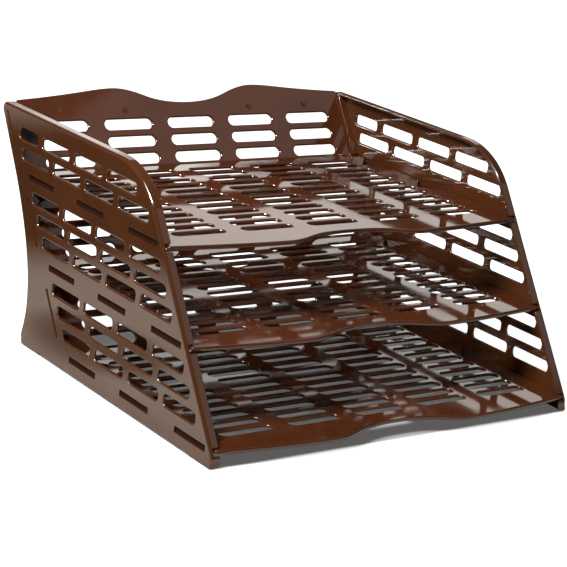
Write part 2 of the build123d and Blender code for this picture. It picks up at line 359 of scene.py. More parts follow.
def along(values: Array, axis: int, closed: bool) -> Array:
    """Central differences along an axis, one-sided at the ends of an open one.

    Args:
        values: Values.
        axis: Axis to go along.
        closed: Whether the axis runs round to its start.

    Returns:
        Differences, as many as there are values.
    """
    if closed:
        return np.roll(values, -1, axis) - np.roll(values, 1, axis)
    return np.gradient(values, axis=axis)


class Sheet:
    """A flat, bent or curved sheet with rounded edges, cut out by loops in its own plane.

    A point of the sheet is two coordinates in its plane and a depth under its face. Every loop
    has the material on its left. Its edge is a profile carried round the loop: a quarter circle
    from the face, a straight wall and a quarter circle to the back. The face and the back are
    Delaunay triangles between the loops, and a placement bends the whole into space.

    Attributes:
        bead_drop: How far a full bead reaches below the sheet's back.
        bead_run: The bead's underside and rear: how far behind the edge, and share of the drop.
        bead_gap: Step between the same points where there is no bead.
        probe: Step by which the placement's slope is felt for.
        merge: Points nearer than this count as one when the triangles are laid.
    """

    bead_drop: float = 0.9
    bead_run: Array = np.array([[2.45, 1.0], [2.78, 0.62], [2.95, 0.12], [3.3, 0.0]])
    bead_gap: float = 0.02
    probe: float = 0.01
    merge: float = 1e-6

    def __init__(self, thickness: float, place: Placement, round_steps: int = 4) -> None:
        """Start a sheet.

        Args:
            thickness: Thickness in millimetres.
            place: Turns two coordinates and a depth into points in the frame.
            round_steps: Steps round each quarter circle of the edge.
        """
        self.thickness = thickness
        self.place = place
        self.round_steps = round_steps
        self.loops: list[tuple[Array, Array, Array, bool]] = []
        self.ties: list[tuple[tuple[float, float], tuple[float, float]]] = []

    def cut(
        self,
        loops: Array,
        face_radius: float | Array,
        back_radius: float | Array,
        hole: bool = True,
        bead: Array | None = None,
    ) -> None:
        """Add loops of the same number of points.

        Args:
            loops: Loop, point and coordinate as the axes, or one loop.
            face_radius: Rounding at the face, one for all or one for each point.
            back_radius: Rounding at the back.
            hole: False for the sheet's outline.
            bead: Share of the full bead under the edge at each point.
        """
        loops = loops.reshape((-1,) + loops.shape[-2:])
        count = loops.shape[1]
        face = np.broadcast_to(face_radius, count).astype(float)
        back = np.broadcast_to(back_radius, count).astype(float)
        offset, depth = self.profile(face, back, bead)
        self.loops.append((loops, offset, depth, hole))

    def tie(self, start: tuple[float, float], end: tuple[float, float]) -> None:
        """Keep an edge of the triangles between the loop points nearest two places."""
        self.ties.append((start, end))

    def profile(self, face: Array, back: Array, bead: Array | None) -> tuple[Array, Array]:
        """Offset from the loop and depth of each row of the edge, for each point of a loop.

        Two quarter circles are joined by a straight wall. Under a bead the second one lies
        deeper, and more rows lead along the bead's underside and back up behind it.

        Args:
            face: Radius at the face for each point.
            back: Radius at the back for each point.
            bead: Share of the full bead for each point, or None for an edge with no bead.

        Returns:
            Offsets and depths, with point and row as the axes.
        """
        angle = np.linspace(0, math.pi / 2, self.round_steps + 1)
        share = np.zeros(len(face)) if bead is None else bead
        bottom = self.thickness + share * self.bead_drop
        offset = [face[:, None] * (np.sin(angle) - 1), back[:, None] * (np.cos(angle) - 1)]
        depth = [face[:, None] * (1 - np.cos(angle)), bottom[:, None] - back[:, None] * (1 - np.sin(angle))]
        if bead is not None:
            behind, level = self.bead_run.T
            plain = back[:, None] + self.bead_gap * np.arange(1, len(behind) + 1)
            offset.append(-(plain * (1 - share[:, None]) + behind * share[:, None]))
            depth.append(self.thickness + share[:, None] * self.bead_drop * level)
        return np.concatenate(offset, axis=1), np.concatenate(depth, axis=1)

    def surface_normal(self, flat: Array, depth: float) -> Array:
        """Normal of the sheet: the cross product of small steps along both axes of its plane.

        Args:
            flat: Points of the plane.
            depth: Their depth.

        Returns:
            Unit normals.
        """
        step = self.probe
        levels = np.full(len(flat), depth)
        here = self.place(flat[:, 0], flat[:, 1], levels)
        right = self.place(flat[:, 0] + step, flat[:, 1], levels) - here
        ahead = self.place(flat[:, 0], flat[:, 1] + step, levels) - here
        return unit(np.cross(right, ahead))

    def is_mirrored(self) -> bool:
        """Compare the way down through the sheet with the plane's normal.

        Returns:
            Whether the placement turns a left-hand loop into a right-hand one.
        """
        flat = self.loops[0][0][0][:1]
        face = self.place(flat[:, 0], flat[:, 1], np.zeros(1))
        under = self.place(flat[:, 0], flat[:, 1], np.ones(1))
        return float(((under - face) * self.surface_normal(flat, 0.0)).sum()) > 0

    def add_to(self, parts: MeshParts) -> None:
        """Work the sheet out and add it to the gathered surfaces.

        Each edge is a grid of its profile's rows carried round its loops. A point's normal is
        the cross product of the grid's two directions. In the first and last row it is the
        face's and the back's own normal, so that they meet the edge with no crease.

        Args:
            parts: The gathered surfaces.
        """
        flip = self.is_mirrored()
        points, normals, quads, rims = [], [], [], []
        start = 0
        for loops, offset, depth, hole in self.loops:
            many, count = loops.shape[:2]
            rows = offset.shape[1]
            ahead = along(loops, 1, True)
            outward = unit(np.stack([ahead[..., 1], -ahead[..., 0]], axis=-1))
            flat = loops[:, :, None] + outward[:, :, None] * offset[None, :, :, None]
            depths = np.broadcast_to(depth[None], flat.shape[:3])
            solid = self.place(flat[..., 0], flat[..., 1], depths)
            normal = np.cross(along(solid, 2, False), along(solid, 1, True))
            normal = unit(-normal if flip else normal)
            turn = -1 if flip else 1
            for row, level in ((0, 0.0), (rows - 1, self.thickness)):
                sense = turn if row == 0 else -turn
                ends = self.surface_normal(flat[:, :, row].reshape(-1, 2), level)
                normal[:, :, row] = sense * ends.reshape(many, count, 3)
            index = start + np.arange(many * count * rows).reshape(many, count, rows)
            following = np.roll(index, -1, axis=1)
            quad = np.stack(
                [index[..., :-1], index[..., 1:], following[..., 1:], following[..., :-1]], axis=-1
            ).reshape(-1, 4)
            points.append(solid.reshape(-1, 3))
            normals.append(normal.reshape(-1, 3))
            quads.append(quad[:, ::-1] if flip else quad)
            rims.append((flat, index, hole))
            start += many * count * rows
        face_triangles = self.fill(rims, 0)
        back_triangles = self.fill(rims, -1)[:, ::-1]
        triangles = np.concatenate([face_triangles, back_triangles])
        if flip:
            triangles = triangles[:, ::-1]
        parts.add(np.concatenate(points), np.concatenate(normals), triangles, np.concatenate(quads))

    def fill(self, rims: list[tuple[Array, Array, bool]], row: int) -> Array:
        """Delaunay triangles of the face or the back, between one row of every loop's edge.

        Triangles that lie in a hole, whose loops are convex, have all corners on its loop.
        Those outside the outline are found by counting its crossings.

        Args:
            rims: Flat points, indices and whether it is a hole, for each group of loops.
            row: Row of the edge to fill from.

        Returns:
            Triangles as indices, anticlockwise in the sheet's plane.
        """
        flat, index, edges, loop_of, holes = [], [], [], [], []
        start, loop_start = 0, 0
        for points, indices, hole in rims:
            many, count = points.shape[:2]
            flat.append(points[:, :, row].reshape(-1, 2))
            index.append(indices[:, :, row].ravel())
            local = start + np.arange(many * count).reshape(many, count)
            edges.append(np.stack([local, np.roll(local, -1, axis=1)], axis=-1).reshape(-1, 2))
            loop_of.append(np.repeat(loop_start + np.arange(many), count))
            holes.append(np.full(many, hole))
            start += many * count
            loop_start += many
        flat, index, loop_of = np.concatenate(flat), np.concatenate(index), np.concatenate(loop_of)
        edges, holes = np.concatenate(edges), np.concatenate(holes)
        outline_edges = edges[~holes[loop_of[edges[:, 0]]]]
        ties = [[int(np.argmin(((flat - end) ** 2).sum(1))) for end in tie] for tie in self.ties]
        all_edges = edges.tolist() + ties
        found = delaunay_2d_cdt([Vector(p) for p in flat.tolist()], all_edges, [], 0, self.merge, True)
        source = np.array([origin[0] if origin else -1 for origin in found[3]])
        if (source < 0).any():
            log.warning("loops cross: %d new points", int((source < 0).sum()))
        triangles = source[np.array(found[2])]
        triangles = triangles[(triangles >= 0).all(axis=1)]
        own = loop_of[triangles]
        one_loop = (own == own[:, :1]).all(axis=1)
        in_hole = one_loop & holes[own[:, 0]]
        middle = flat[triangles].mean(axis=1)
        begin, end = flat[outline_edges[:, 0]], flat[outline_edges[:, 1]]
        beyond = one_loop & ~holes[own[:, 0]]
        spans = (begin[:, 1] > middle[beyond, None, 1]) != (end[:, 1] > middle[beyond, None, 1])
        rise = np.where(end[:, 1] == begin[:, 1], 1e-9, end[:, 1] - begin[:, 1])
        crossing = begin[:, 0] + (middle[beyond, None, 1] - begin[:, 1]) * (end[:, 0] - begin[:, 0]) / rise
        inside = (spans & (crossing > middle[beyond, None, 0])).sum(axis=1) % 2 == 1
        keep = ~in_hole
        keep[np.flatnonzero(beyond)[~inside]] = False
        triangles = triangles[keep]
        a, b, c = flat[triangles[:, 0]], flat[triangles[:, 1]], flat[triangles[:, 2]]
        clockwise = (b[:, 0] - a[:, 0]) * (c[:, 1] - a[:, 1]) < (b[:, 1] - a[:, 1]) * (c[:, 0] - a[:, 0])
        triangles[clockwise] = triangles[clockwise][:, ::-1]
        return index[triangles]


# ---- Curves --------------------------------------------------------------------------------
def smoothstep(value: Array) -> Array:
    """Ease from 0 to 1 with level ends: 3t^2 - 2t^3 of the value clipped to 0 to 1."""
    t = np.clip(value, 0, 1)
    return t * t * (3 - 2 * t)


@dataclass
class Outline:
    """A closed curve kept as close points, so that it can be asked for by length.

    Attributes:
        points: Close points, anticlockwise.
        fine: Step at which the curve's turn is felt for.
        lengths: Length along the curve to each point, with the whole length last.
    """

    points: Array
    fine: float = 0.1
    lengths: Array = field(init=False)

    def __post_init__(self) -> None:
        """Sum the steps between the points, and turn the curve's direction into its normals."""
        closed = np.concatenate([self.points, self.points[:1]])
        steps = np.linalg.norm(np.diff(closed, axis=0), axis=1)
        self.lengths = np.concatenate([[0.0], np.cumsum(steps)])
        ahead = along(self.points, 0, True)
        normals = unit(np.stack([ahead[:, 1], -ahead[:, 0]], axis=1))
        self._closed = closed
        self._normals = np.concatenate([normals, normals[:1]])

    @property
    def total(self) -> float:
        """Length once round."""
        return float(self.lengths[-1])

    def at(self, length: Array) -> Array:
        """Points at lengths along the curve."""
        wrapped = np.mod(length, self.total)
        return np.stack([np.interp(wrapped, self.lengths, self._closed[:, k]) for k in (0, 1)], axis=-1)

    def outward(self, length: Array) -> Array:
        """Unit normals at lengths along the curve, to the outside."""
        wrapped = np.mod(length, self.total)
        return unit(np.stack([np.interp(wrapped, self.lengths, self._normals[:, k]) for k in (0, 1)], axis=-1))

    def length_near(self, point: tuple[float, float]) -> float:
        """Length at the curve's point nearest to a point."""
        return float(self.lengths[np.argmin(((self.points - np.array(point)) ** 2).sum(1))])

    def spread(self, start: float, end: float, turn_step: float = 0.09, longest: float = 12.0) -> Array:
        """Lengths from start to end, closer where the curve turns.

        A running cost adds each stretch's length over the longest step to its turn over the
        turn step, and the lengths lie at even steps of that cost.

        Args:
            start: First length.
            end: Last length, above the first.
            turn_step: Turn between neighbours in radians.
            longest: Longest step on a straight stretch.

        Returns:
            Lengths, with both ends.
        """
        stations = np.append(np.arange(start, end, self.fine), end)
        normal = self.outward(stations)
        turn = np.arcsin(np.clip(np.linalg.norm(np.diff(normal, axis=0), axis=1), 0, 1))
        cost = np.concatenate([[0.0], np.cumsum(turn / turn_step + np.diff(stations) / longest)])
        count = max(2, math.ceil(cost[-1]))
        return np.interp(np.linspace(0, cost[-1], count + 1), cost, stations)


# ---- Side panels ---------------------------------------------------------------------------
@dataclass(frozen=True)
class PanelEdge:
    """Outline of a side panel, in millimetres, with slopes in radians from the vertical.

    Attributes:
        behind_wall: Top rear corner, before its rounding, behind the top tray's wall.
        rear_corner_radius: Rounding of that corner.
        rear_angle: Slope of the rear edge's straight upper part.
        straight_height: How far down the straight part reaches.
        bend_height: Height of a point between the straight part and the waist.
        bend_back: How far that point is behind the waist.
        bend_angle: The edge's slope there.
        waist_height: Height where the rear edge is furthest forward.
        waist_station: Station of the waist.
        heel_station: Corner of the rear foot, before its rounding.
        heel_angle: Slope of the rear foot, forward as it rises.
        heel_height: Straight part of the rear foot.
        heel_radius: Rounding of its corner.
        shoulder_radius: Rounding between the front edge and the top edge.
        toe_setback: Front of the front foot, behind the front edge's line.
        toe_radius: Rounding of its corner.
        toe_blend_radius: Rounding between the front foot and the front edge.
        relief_height: Lower edge between the feet, above the table.
        relief_front: Station where the lower edge leaves the front foot.
        relief_rear: Station where it meets the rear foot.
        relief_radius: Rounding at both.
        seam_station: Where the outline starts, on the lower edge.
        arc_step: Largest turn between two points of a rounding.
        spacing: Longest step between two points.
        waist_points: Number of points in the rear edge's cubic pieces.
    """

    behind_wall: float = 9.4
    rear_corner_radius: float = 5.0
    rear_angle: float = math.radians(31.5)
    straight_height: float = 45.4
    bend_height: float = 85.9
    bend_back: float = 9.6
    bend_angle: float = math.radians(20.5)
    waist_height: float = 38.0
    waist_station: float = 275.0
    heel_station: float = 283.4
    heel_angle: float = math.radians(18.4)
    heel_height: float = 11.1
    heel_radius: float = 7.5
    shoulder_radius: float = 64.0
    toe_setback: float = 6.05
    toe_radius: float = 2.6
    toe_blend_radius: float = 16.3
    relief_height: float = 1.6
    relief_front: float = 33.5
    relief_rear: float = 249.2
    relief_radius: float = 0.4
    seam_station: float = 148.0
    arc_step: float = 0.03
    spacing: float = 0.4
    waist_points: int = 260

    def foot(self) -> Array:
        """Lower edge from the seam back to the top of the rear foot's straight part.

        Returns:
            Points, station and height in each row.
        """
        heel_top = self.heel_station - math.tan(self.heel_angle) * self.heel_height
        corners = [
            (self.seam_station, self.relief_height),
            (self.relief_rear, self.relief_height),
            (self.relief_rear, 0),
            (self.heel_station, 0),
            (heel_top, self.heel_height),
        ]
        radii = [self.relief_radius, self.relief_radius, self.heel_radius]
        return rounded_path(corners, radii, self.arc_step)

    def waist(self, stack: StackMeasures) -> Array:
        """Rear edge from the rear foot to the straight part, as cubic pieces over the height.

        Args:
            stack: Sizes shared with the trays.

        Returns:
            Points, station and height in each row.
        """
        top = stack.panel_height
        rear = stack.wall_front(stack.tray_count - 1, top) + self.behind_wall
        heel_slope, rear_slope = math.tan(self.heel_angle), math.tan(self.rear_angle)
        straight_low = top - self.straight_height
        knots = [
            (self.heel_height, self.heel_station - heel_slope * self.heel_height, -heel_slope),
            (self.waist_height, self.waist_station, 0.0),
            (self.bend_height, self.waist_station + self.bend_back, math.tan(self.bend_angle)),
            (straight_low, rear - rear_slope * self.straight_height, rear_slope),
        ]
        heights = np.linspace(self.heel_height, straight_low, self.waist_points)[1:]
        return np.stack([hermite(heights, knots), heights], axis=1)

    def over_the_top(self, stack: StackMeasures, start: Array) -> Array:
        """Straight rear part, top edge, shoulder, front edge, front foot and on to the seam.

        Args:
            stack: Sizes shared with the trays.
            start: The waist's last point.

        Returns:
            Points, station and height in each row.
        """
        top = stack.panel_height
        rear = stack.wall_front(stack.tray_count - 1, top) + self.behind_wall
        corners = [
            tuple(start),
            (rear, top),
            (stack.lean * top, top),
            (self.toe_setback, self.toe_setback / stack.lean),
            (self.toe_setback, 0),
            (self.relief_front, 0),
            (self.relief_front, self.relief_height),
            (self.seam_station, self.relief_height),
        ]
        radii = [
            self.rear_corner_radius,
            self.shoulder_radius,
            self.toe_blend_radius,
            self.toe_radius,
            self.relief_radius,
            self.relief_radius,
        ]
        return rounded_path(corners, radii, self.arc_step)

    def outline(self, stack: StackMeasures) -> Outline:
        """The whole outline, anticlockwise from the seam.

        Args:
            stack: Sizes shared with the trays.

        Returns:
            The closed curve.
        """
        waist = self.waist(stack)
        path = np.concatenate([self.foot(), waist, self.over_the_top(stack, waist[-1])[1:-1]])
        return Outline(fill_in(thin_out(path), self.spacing))


@dataclass(frozen=True)
class Rib:
    """Sizes of the rib that a tray's wall leans against, in millimetres.

    Attributes:
        floor_gap: Its ends to the floors below and above it.
        top_gap: The top tray's rib to the panel's top edge.
        wall_gap: Its rear side to the wall's front face, square to the wall.
        thickness: Its thickness, square to the wall.
        reach: Its free side from the panel's outer face.
        height: Depth of its sheet, which ends inside the plate.
        corner: Rounding of its outline.
        edge: Rounding of its free edges.
        root_edge: Rounding of its edges inside the plate.
    """

    floor_gap: float = 0.6
    top_gap: float = 1.25
    wall_gap: float = 0.3
    thickness: float = 2.6
    reach: float = 9.0
    height: float = 6.7
    corner: float = 0.7
    edge: float = 0.5
    root_edge: float = 0.05


@dataclass
class SidePanel:
    """Slotted side panel: plate, rim in stretches between the notches, and a rib for each wall.

    Attributes:
        name: Name of its object.
        side: -1 for the left panel, 1 for the right one.
        stack: Sizes shared with the trays.
        edge: Its outline.
        ribs: Its ribs.
        slot_size: Length and width of a slot.
        slot_corner: Radius of a slot's corners.
        slot_least: A slot that would be shorter is left out.
        slot_columns: Slots in a row.
        slot_pitch: From one slot to the next.
        slot_front: Centre of a row's first slot behind the front edge.
        slot_rows: Rows in each tier, as far as there is panel to cut.
        row_pitch: First row above the floor, and row to row.
        slot_margin: Least plate between a slot and the top edge.
        wall_gap: Least plate between a slot's end and the middle of the tray's wall.
        high_row: A row nearer than this to the top edge follows the shoulder.
        high_row_shift: How much further back such a row is.
        high_wall_gap: Its least plate in front of the middle of the wall.
        outer_radius: Rounding of the plate's outer edge.
        foot_radius: The same at the feet.
        foot_blend: Height where the feet's rounding ends, and how much more it takes to grow.
        inner_radius: Rounding of the plate's inner edge.
        slot_rim: Rounding of the slots' rims.
        mortise_clearance: How much longer and higher a mortise is than its tab.
        mortise_rim: Rounding of the mortises' rims.
        rim_start: Where the rim starts, from the outer face, inside the plate's rounding.
        rim_inset: How far the rim lies within the plate's edge, so that no two faces meet.
        rim_edge: Rounding of the rim's free edges.
        rim_corner: Rounding of the rim's corners at the notches.
        foot_corner: The same at the feet.
        notch_half: Half the height of a notch that a tray's floor passes through.
        toe_end: Where the rim ends at the front foot, from the foot's corner.
        heel_end: Where it ends at the rear foot, from the foot's corner.
        corner_steps: Steps along the rim's straight side beside each of its corners.
    """

    name: str
    side: int
    stack: StackMeasures
    edge: PanelEdge = PanelEdge()
    ribs: Rib = Rib()
    slot_size: tuple[float, float] = (41.2, 8.7)
    slot_corner: float = 3.0
    slot_least: float = 13.05
    slot_columns: int = 4
    slot_pitch: float = 48.2
    slot_front: float = 31.8
    slot_rows: int = 3
    row_pitch: float = 15.0
    slot_margin: float = 8.0
    wall_gap: float = 9.5
    high_row: float = 25.0
    high_row_shift: float = 8.3
    high_wall_gap: float = 14.0
    outer_radius: float = 2.0
    foot_radius: float = 0.3
    foot_blend: tuple[float, float] = (1.65, 3.0)
    inner_radius: float = 0.04
    slot_rim: float = 1.15
    mortise_clearance: float = 0.1
    mortise_rim: float = 0.1
    rim_start: float = 1.85
    rim_inset: float = 0.004
    rim_edge: float = 0.6
    rim_corner: float = 1.5
    foot_corner: float = 3.0
    notch_half: float = 2.35
    toe_end: tuple[float, float] = (0.9, 0.55)
    heel_end: tuple[float, float] = (-0.6, 1.2)
    corner_steps: int = 4

    def slot_places(self) -> list[tuple[float, float, float]]:
        """Places of the slots, row by row in each tier.

        Each row starts behind the leaning front edge. Its last slot is cut short in front of the
        tray's wall, and left out if too little of it is left.

        Returns:
            Centre station, height and length of every slot.
        """
        stack, places = self.stack, []
        length, width = self.slot_size
        for tier in range(stack.tray_count):
            for row in range(1, self.slot_rows + 1):
                height = stack.floor_height(tier) + row * self.row_pitch
                below_top = stack.panel_height - height
                if below_top < width / 2 + self.slot_margin:
                    continue
                high = below_top < self.high_row
                shift = self.high_row_shift if high else 0.0
                start = stack.lean * height + self.slot_front - length / 2 + shift
                gap = self.high_wall_gap if high else self.wall_gap
                rear_limit = stack.wall_middle(tier, height) - gap
                for column in range(self.slot_columns):
                    front = start + column * self.slot_pitch
                    rear = min(front + length, rear_limit)
                    if rear - front > self.slot_least:
                        places.append(((front + rear) / 2, height, rear - front))
        return places

    def plate(self, outline: Outline) -> Sheet:
        """The plate with its slots and mortises.

        Args:
            outline: The panel's outline.

        Returns:
            The plate, in a plane of station and height.
        """
        stack = self.stack

        def place(station: Array, height: Array, depth: Array) -> Array:
            """Stand the plate upright, with its depth inwards from the outer face."""
            return stack.to_frame(self.side * (stack.half_width - depth), station, height)

        sheet = Sheet(stack.panel_wall, place, round_steps=5)
        loop = outline.at(outline.spread(0, outline.total)[:-1])
        lowest, rise = self.foot_blend
        raised = smoothstep((loop[:, 1] - lowest) / rise)
        outer = self.foot_radius + (self.outer_radius - self.foot_radius) * raised
        sheet.cut(loop, outer, self.inner_radius, hole=False)
        slots = np.array(self.slot_places())
        loops = slot_loops(slots[:, :2], slots[:, 2], self.slot_size[1], self.slot_corner)
        sheet.cut(loops, self.slot_rim, self.slot_rim)
        for tier in range(stack.tray_count):
            for mortise in TrayTabs(stack).loops(tier, self.mortise_clearance):
                sheet.cut(mortise, self.mortise_rim, self.mortise_rim)
        return sheet

    def rim_stretches(self, outline: Outline) -> list[tuple[float, float, float, float]]:
        """Stretches of the rim: from the front foot up, between the notches, and to the heel.

        Args:
            outline: The panel's outline.

        Returns:
            Start and end of each stretch as lengths, with the corner radius at each.
        """
        stack, edge = self.stack, self.edge
        toe = outline.length_near((edge.toe_setback + self.toe_end[0], self.toe_end[1]))
        heel = outline.length_near((edge.heel_station + self.heel_end[0], self.heel_end[1]))
        cuts = []
        for tier in range(stack.tray_count):
            middle = stack.floor_height(tier) - stack.tray_wall / 2
            low, high = middle - self.notch_half, middle + self.notch_half
            cuts.append([outline.length_near((self.front_at(z), z)) for z in (low, high)])
        stretches = [(cuts[0][0], toe, self.rim_corner, self.foot_corner)]
        for below, above in zip(cuts, cuts[1:]):
            stretches.append((above[0], below[1], self.rim_corner, self.rim_corner))
        stretches.append((heel, cuts[-1][1], self.foot_corner, self.rim_corner))
        return stretches

    def front_at(self, height: float) -> float:
        """Station of the front edge at a height, below the shoulder."""
        return max(self.edge.toe_setback, self.stack.lean * height)

    def rim(self, outline: Outline, start: float, end: float, first: float, last: float) -> Sheet:
        """One stretch of the rim, bent along the outline.

        Its plane has the length along the outline and the distance in from the outer face.
        Depth is measured from the outline into the panel.

        Args:
            outline: The panel's outline.
            start: Length where the stretch starts.
            end: Length where it ends.
            first: Corner radius of the free edge at the start.
            last: The same at the end.

        Returns:
            The stretch.
        """
        stack = self.stack

        def place(length: Array, width: Array, depth: Array) -> Array:
            """Bend the stretch round the outline."""
            flat = outline.at(length) - outline.outward(length) * (depth + self.rim_inset)[..., None]
            return stack.to_frame(self.side * (stack.half_width - width), flat[..., 0], flat[..., 1])

        low, high = self.rim_start, stack.flange_width
        corners = [(end, low), (end, high), (start, high), (start, low)]
        free = rounded_path(corners, [last, first], arc_step=0.25)
        arc_start, arc_end = start + first, end - last
        steps = outline.spread(arc_start, arc_end)
        straight = np.stack([steps[::-1][1:-1], np.full(len(steps) - 2, high)], axis=1)
        half = len(free) // 2
        upper = np.concatenate([free[1:half], straight, free[half:-1]])
        lead_in = np.linspace(start, arc_start, self.corner_steps + 1)[:-1]
        lead_out = np.linspace(arc_end, end, self.corner_steps + 1)[1:]
        lengths = np.concatenate([lead_in, steps, lead_out])
        lower = np.stack([lengths, np.full(len(lengths), low)], axis=1)
        sheet = Sheet(stack.panel_wall, place)
        sheet.cut(thin_out(np.concatenate([lower, upper])), self.rim_edge, self.rim_edge, hole=False)
        return sheet

    def rib(self, tier: int) -> Sheet:
        """Rib in front of a tray's wall, from one floor up to the next.

        Args:
            tier: The tray, counted from the lowest.

        Returns:
            The rib, in a plane of station and height.
        """
        stack, rib = self.stack, self.ribs
        low = stack.floor_height(tier) + rib.floor_gap
        high = stack.panel_height - rib.top_gap
        if tier < stack.tray_count - 1:
            high = stack.floor_height(tier + 1) - stack.tray_wall - rib.floor_gap
        across = 1 / math.cos(stack.wall_angle)
        near, far = rib.wall_gap * across, (rib.wall_gap + rib.thickness) * across
        corners = [
            (stack.wall_front(tier, low) - near, low),
            (stack.wall_front(tier, high) - near, high),
            (stack.wall_front(tier, high) - far, high),
            (stack.wall_front(tier, low) - far, low),
        ]
        middle = ((corners[0][0] + corners[3][0]) / 2, low)
        loop = rounded_path([middle, *corners, middle], [rib.corner] * 4, arc_step=0.3)[:-1]

        def place(station: Array, height: Array, depth: Array) -> Array:
            """Stand the rib upright, with its depth outwards from its free side."""
            return stack.to_frame(self.side * (stack.half_width - rib.reach + depth), station, height)

        sheet = Sheet(rib.height, place, round_steps=3)
        sheet.cut(thin_out(loop), rib.edge, rib.root_edge, hole=False)
        return sheet

    def build(self) -> bpy.types.Object:
        """Gather the plate, the rim's stretches and the ribs.

        Returns:
            The panel's object.
        """
        outline = self.edge.outline(self.stack)
        parts = MeshParts()
        self.plate(outline).add_to(parts)
        for stretch in self.rim_stretches(outline):
            self.rim(outline, *stretch).add_to(parts)
        for tier in range(self.stack.tray_count):
            self.rib(tier).add_to(parts)
        return parts.make(self.name)


# ---- Trays ---------------------------------------------------------------------------------
@dataclass(frozen=True)
class TrayTabs:
    """Tabs that stand in the panels' mortises, in millimetres.

    Attributes:
        stack: Sizes shared with the panels.
        length: Length of every tab.
        floor_count: Tabs along each side of a floor.
        floor_first: Centre of the first behind the panel's front edge line.
        floor_pitch: From one to the next.
        floor_height: Height of a floor's tab.
        floor_lift: Its middle above the floor's middle.
        wall_height: Thickness of the wall's tab.
        wall_rise: Its centre above the floor, along the wall.
        corner: Rounding of a tab's outline.
        nose: Rounding of its outer edge.
        root_edge: Rounding of its edge at the plate's inner face.
        recess: Its end from the panel's outer face.
        root: Where it starts, from the panel's outer face.
    """

    stack: StackMeasures
    length: float = 39.1
    floor_count: int = 3
    floor_first: float = 25.6
    floor_pitch: float = 74.4
    floor_height: float = 4.9
    floor_lift: float = 0.5
    wall_height: float = 2.8
    wall_rise: float = 31.0
    corner: float = 0.5
    nose: float = 0.1
    root_edge: float = 0.05
    recess: float = 1.4
    root: float = 2.5

    def floor_places(self, tier: int) -> list[tuple[float, float]]:
        """Places of the tabs along a floor.

        Args:
            tier: The tray, counted from the lowest.

        Returns:
            Station and height of the floor's middle at each tab.
        """
        first = self.stack.tier_front(tier) + self.floor_first
        height = self.stack.floor_height(tier) - self.stack.tray_wall / 2
        return [(first + tab * self.floor_pitch, height) for tab in range(self.floor_count)]

    def wall_place(self, tier: int) -> tuple[float, float]:
        """Station and height of the middle of a wall's tab."""
        height = self.stack.floor_height(tier) + self.wall_rise * math.cos(self.stack.wall_angle)
        return self.stack.wall_middle(tier, height), height

    def loops(self, tier: int, clearance: float = 0.0) -> list[Array]:
        """Outlines of one side's tabs, or of the mortises round them.

        Args:
            tier: The tray, counted from the lowest.
            clearance: How much longer and higher than the tabs.

        Returns:
            Clockwise loops of stations and heights, the floor's from the front and the wall's last.
        """
        floor_tab = box_loop(self.length + clearance, self.floor_height + clearance, self.corner)
        wall_tab = box_loop(self.length + clearance, self.wall_height + clearance, self.corner)
        lift = np.array([0.0, self.floor_lift])
        loops = [floor_tab + (np.array(place) + lift) for place in self.floor_places(tier)]
        lean = math.pi / 2 - self.stack.wall_angle
        return [*loops, turned(wall_tab, lean, self.wall_place(tier))]

    def sheets(self, tier: int, side: int) -> list[Sheet]:
        """The tabs at one side of a tray.

        Args:
            tier: The tray, counted from the lowest.
            side: -1 for the left side, 1 for the right one.

        Returns:
            A sheet for each tab.
        """
        stack = self.stack

        def place(station: Array, height: Array, depth: Array) -> Array:
            """Stand a tab upright, with its depth inwards from its end."""
            return stack.to_frame(side * (stack.half_width - self.recess - depth), station, height)

        sheets = []
        for loop in self.loops(tier):
            sheet = Sheet(self.root - self.recess, place, round_steps=5)
            sheet.cut(loop[::-1], self.nose, self.root_edge, hole=False)
            sheets.append(sheet)
        return sheets


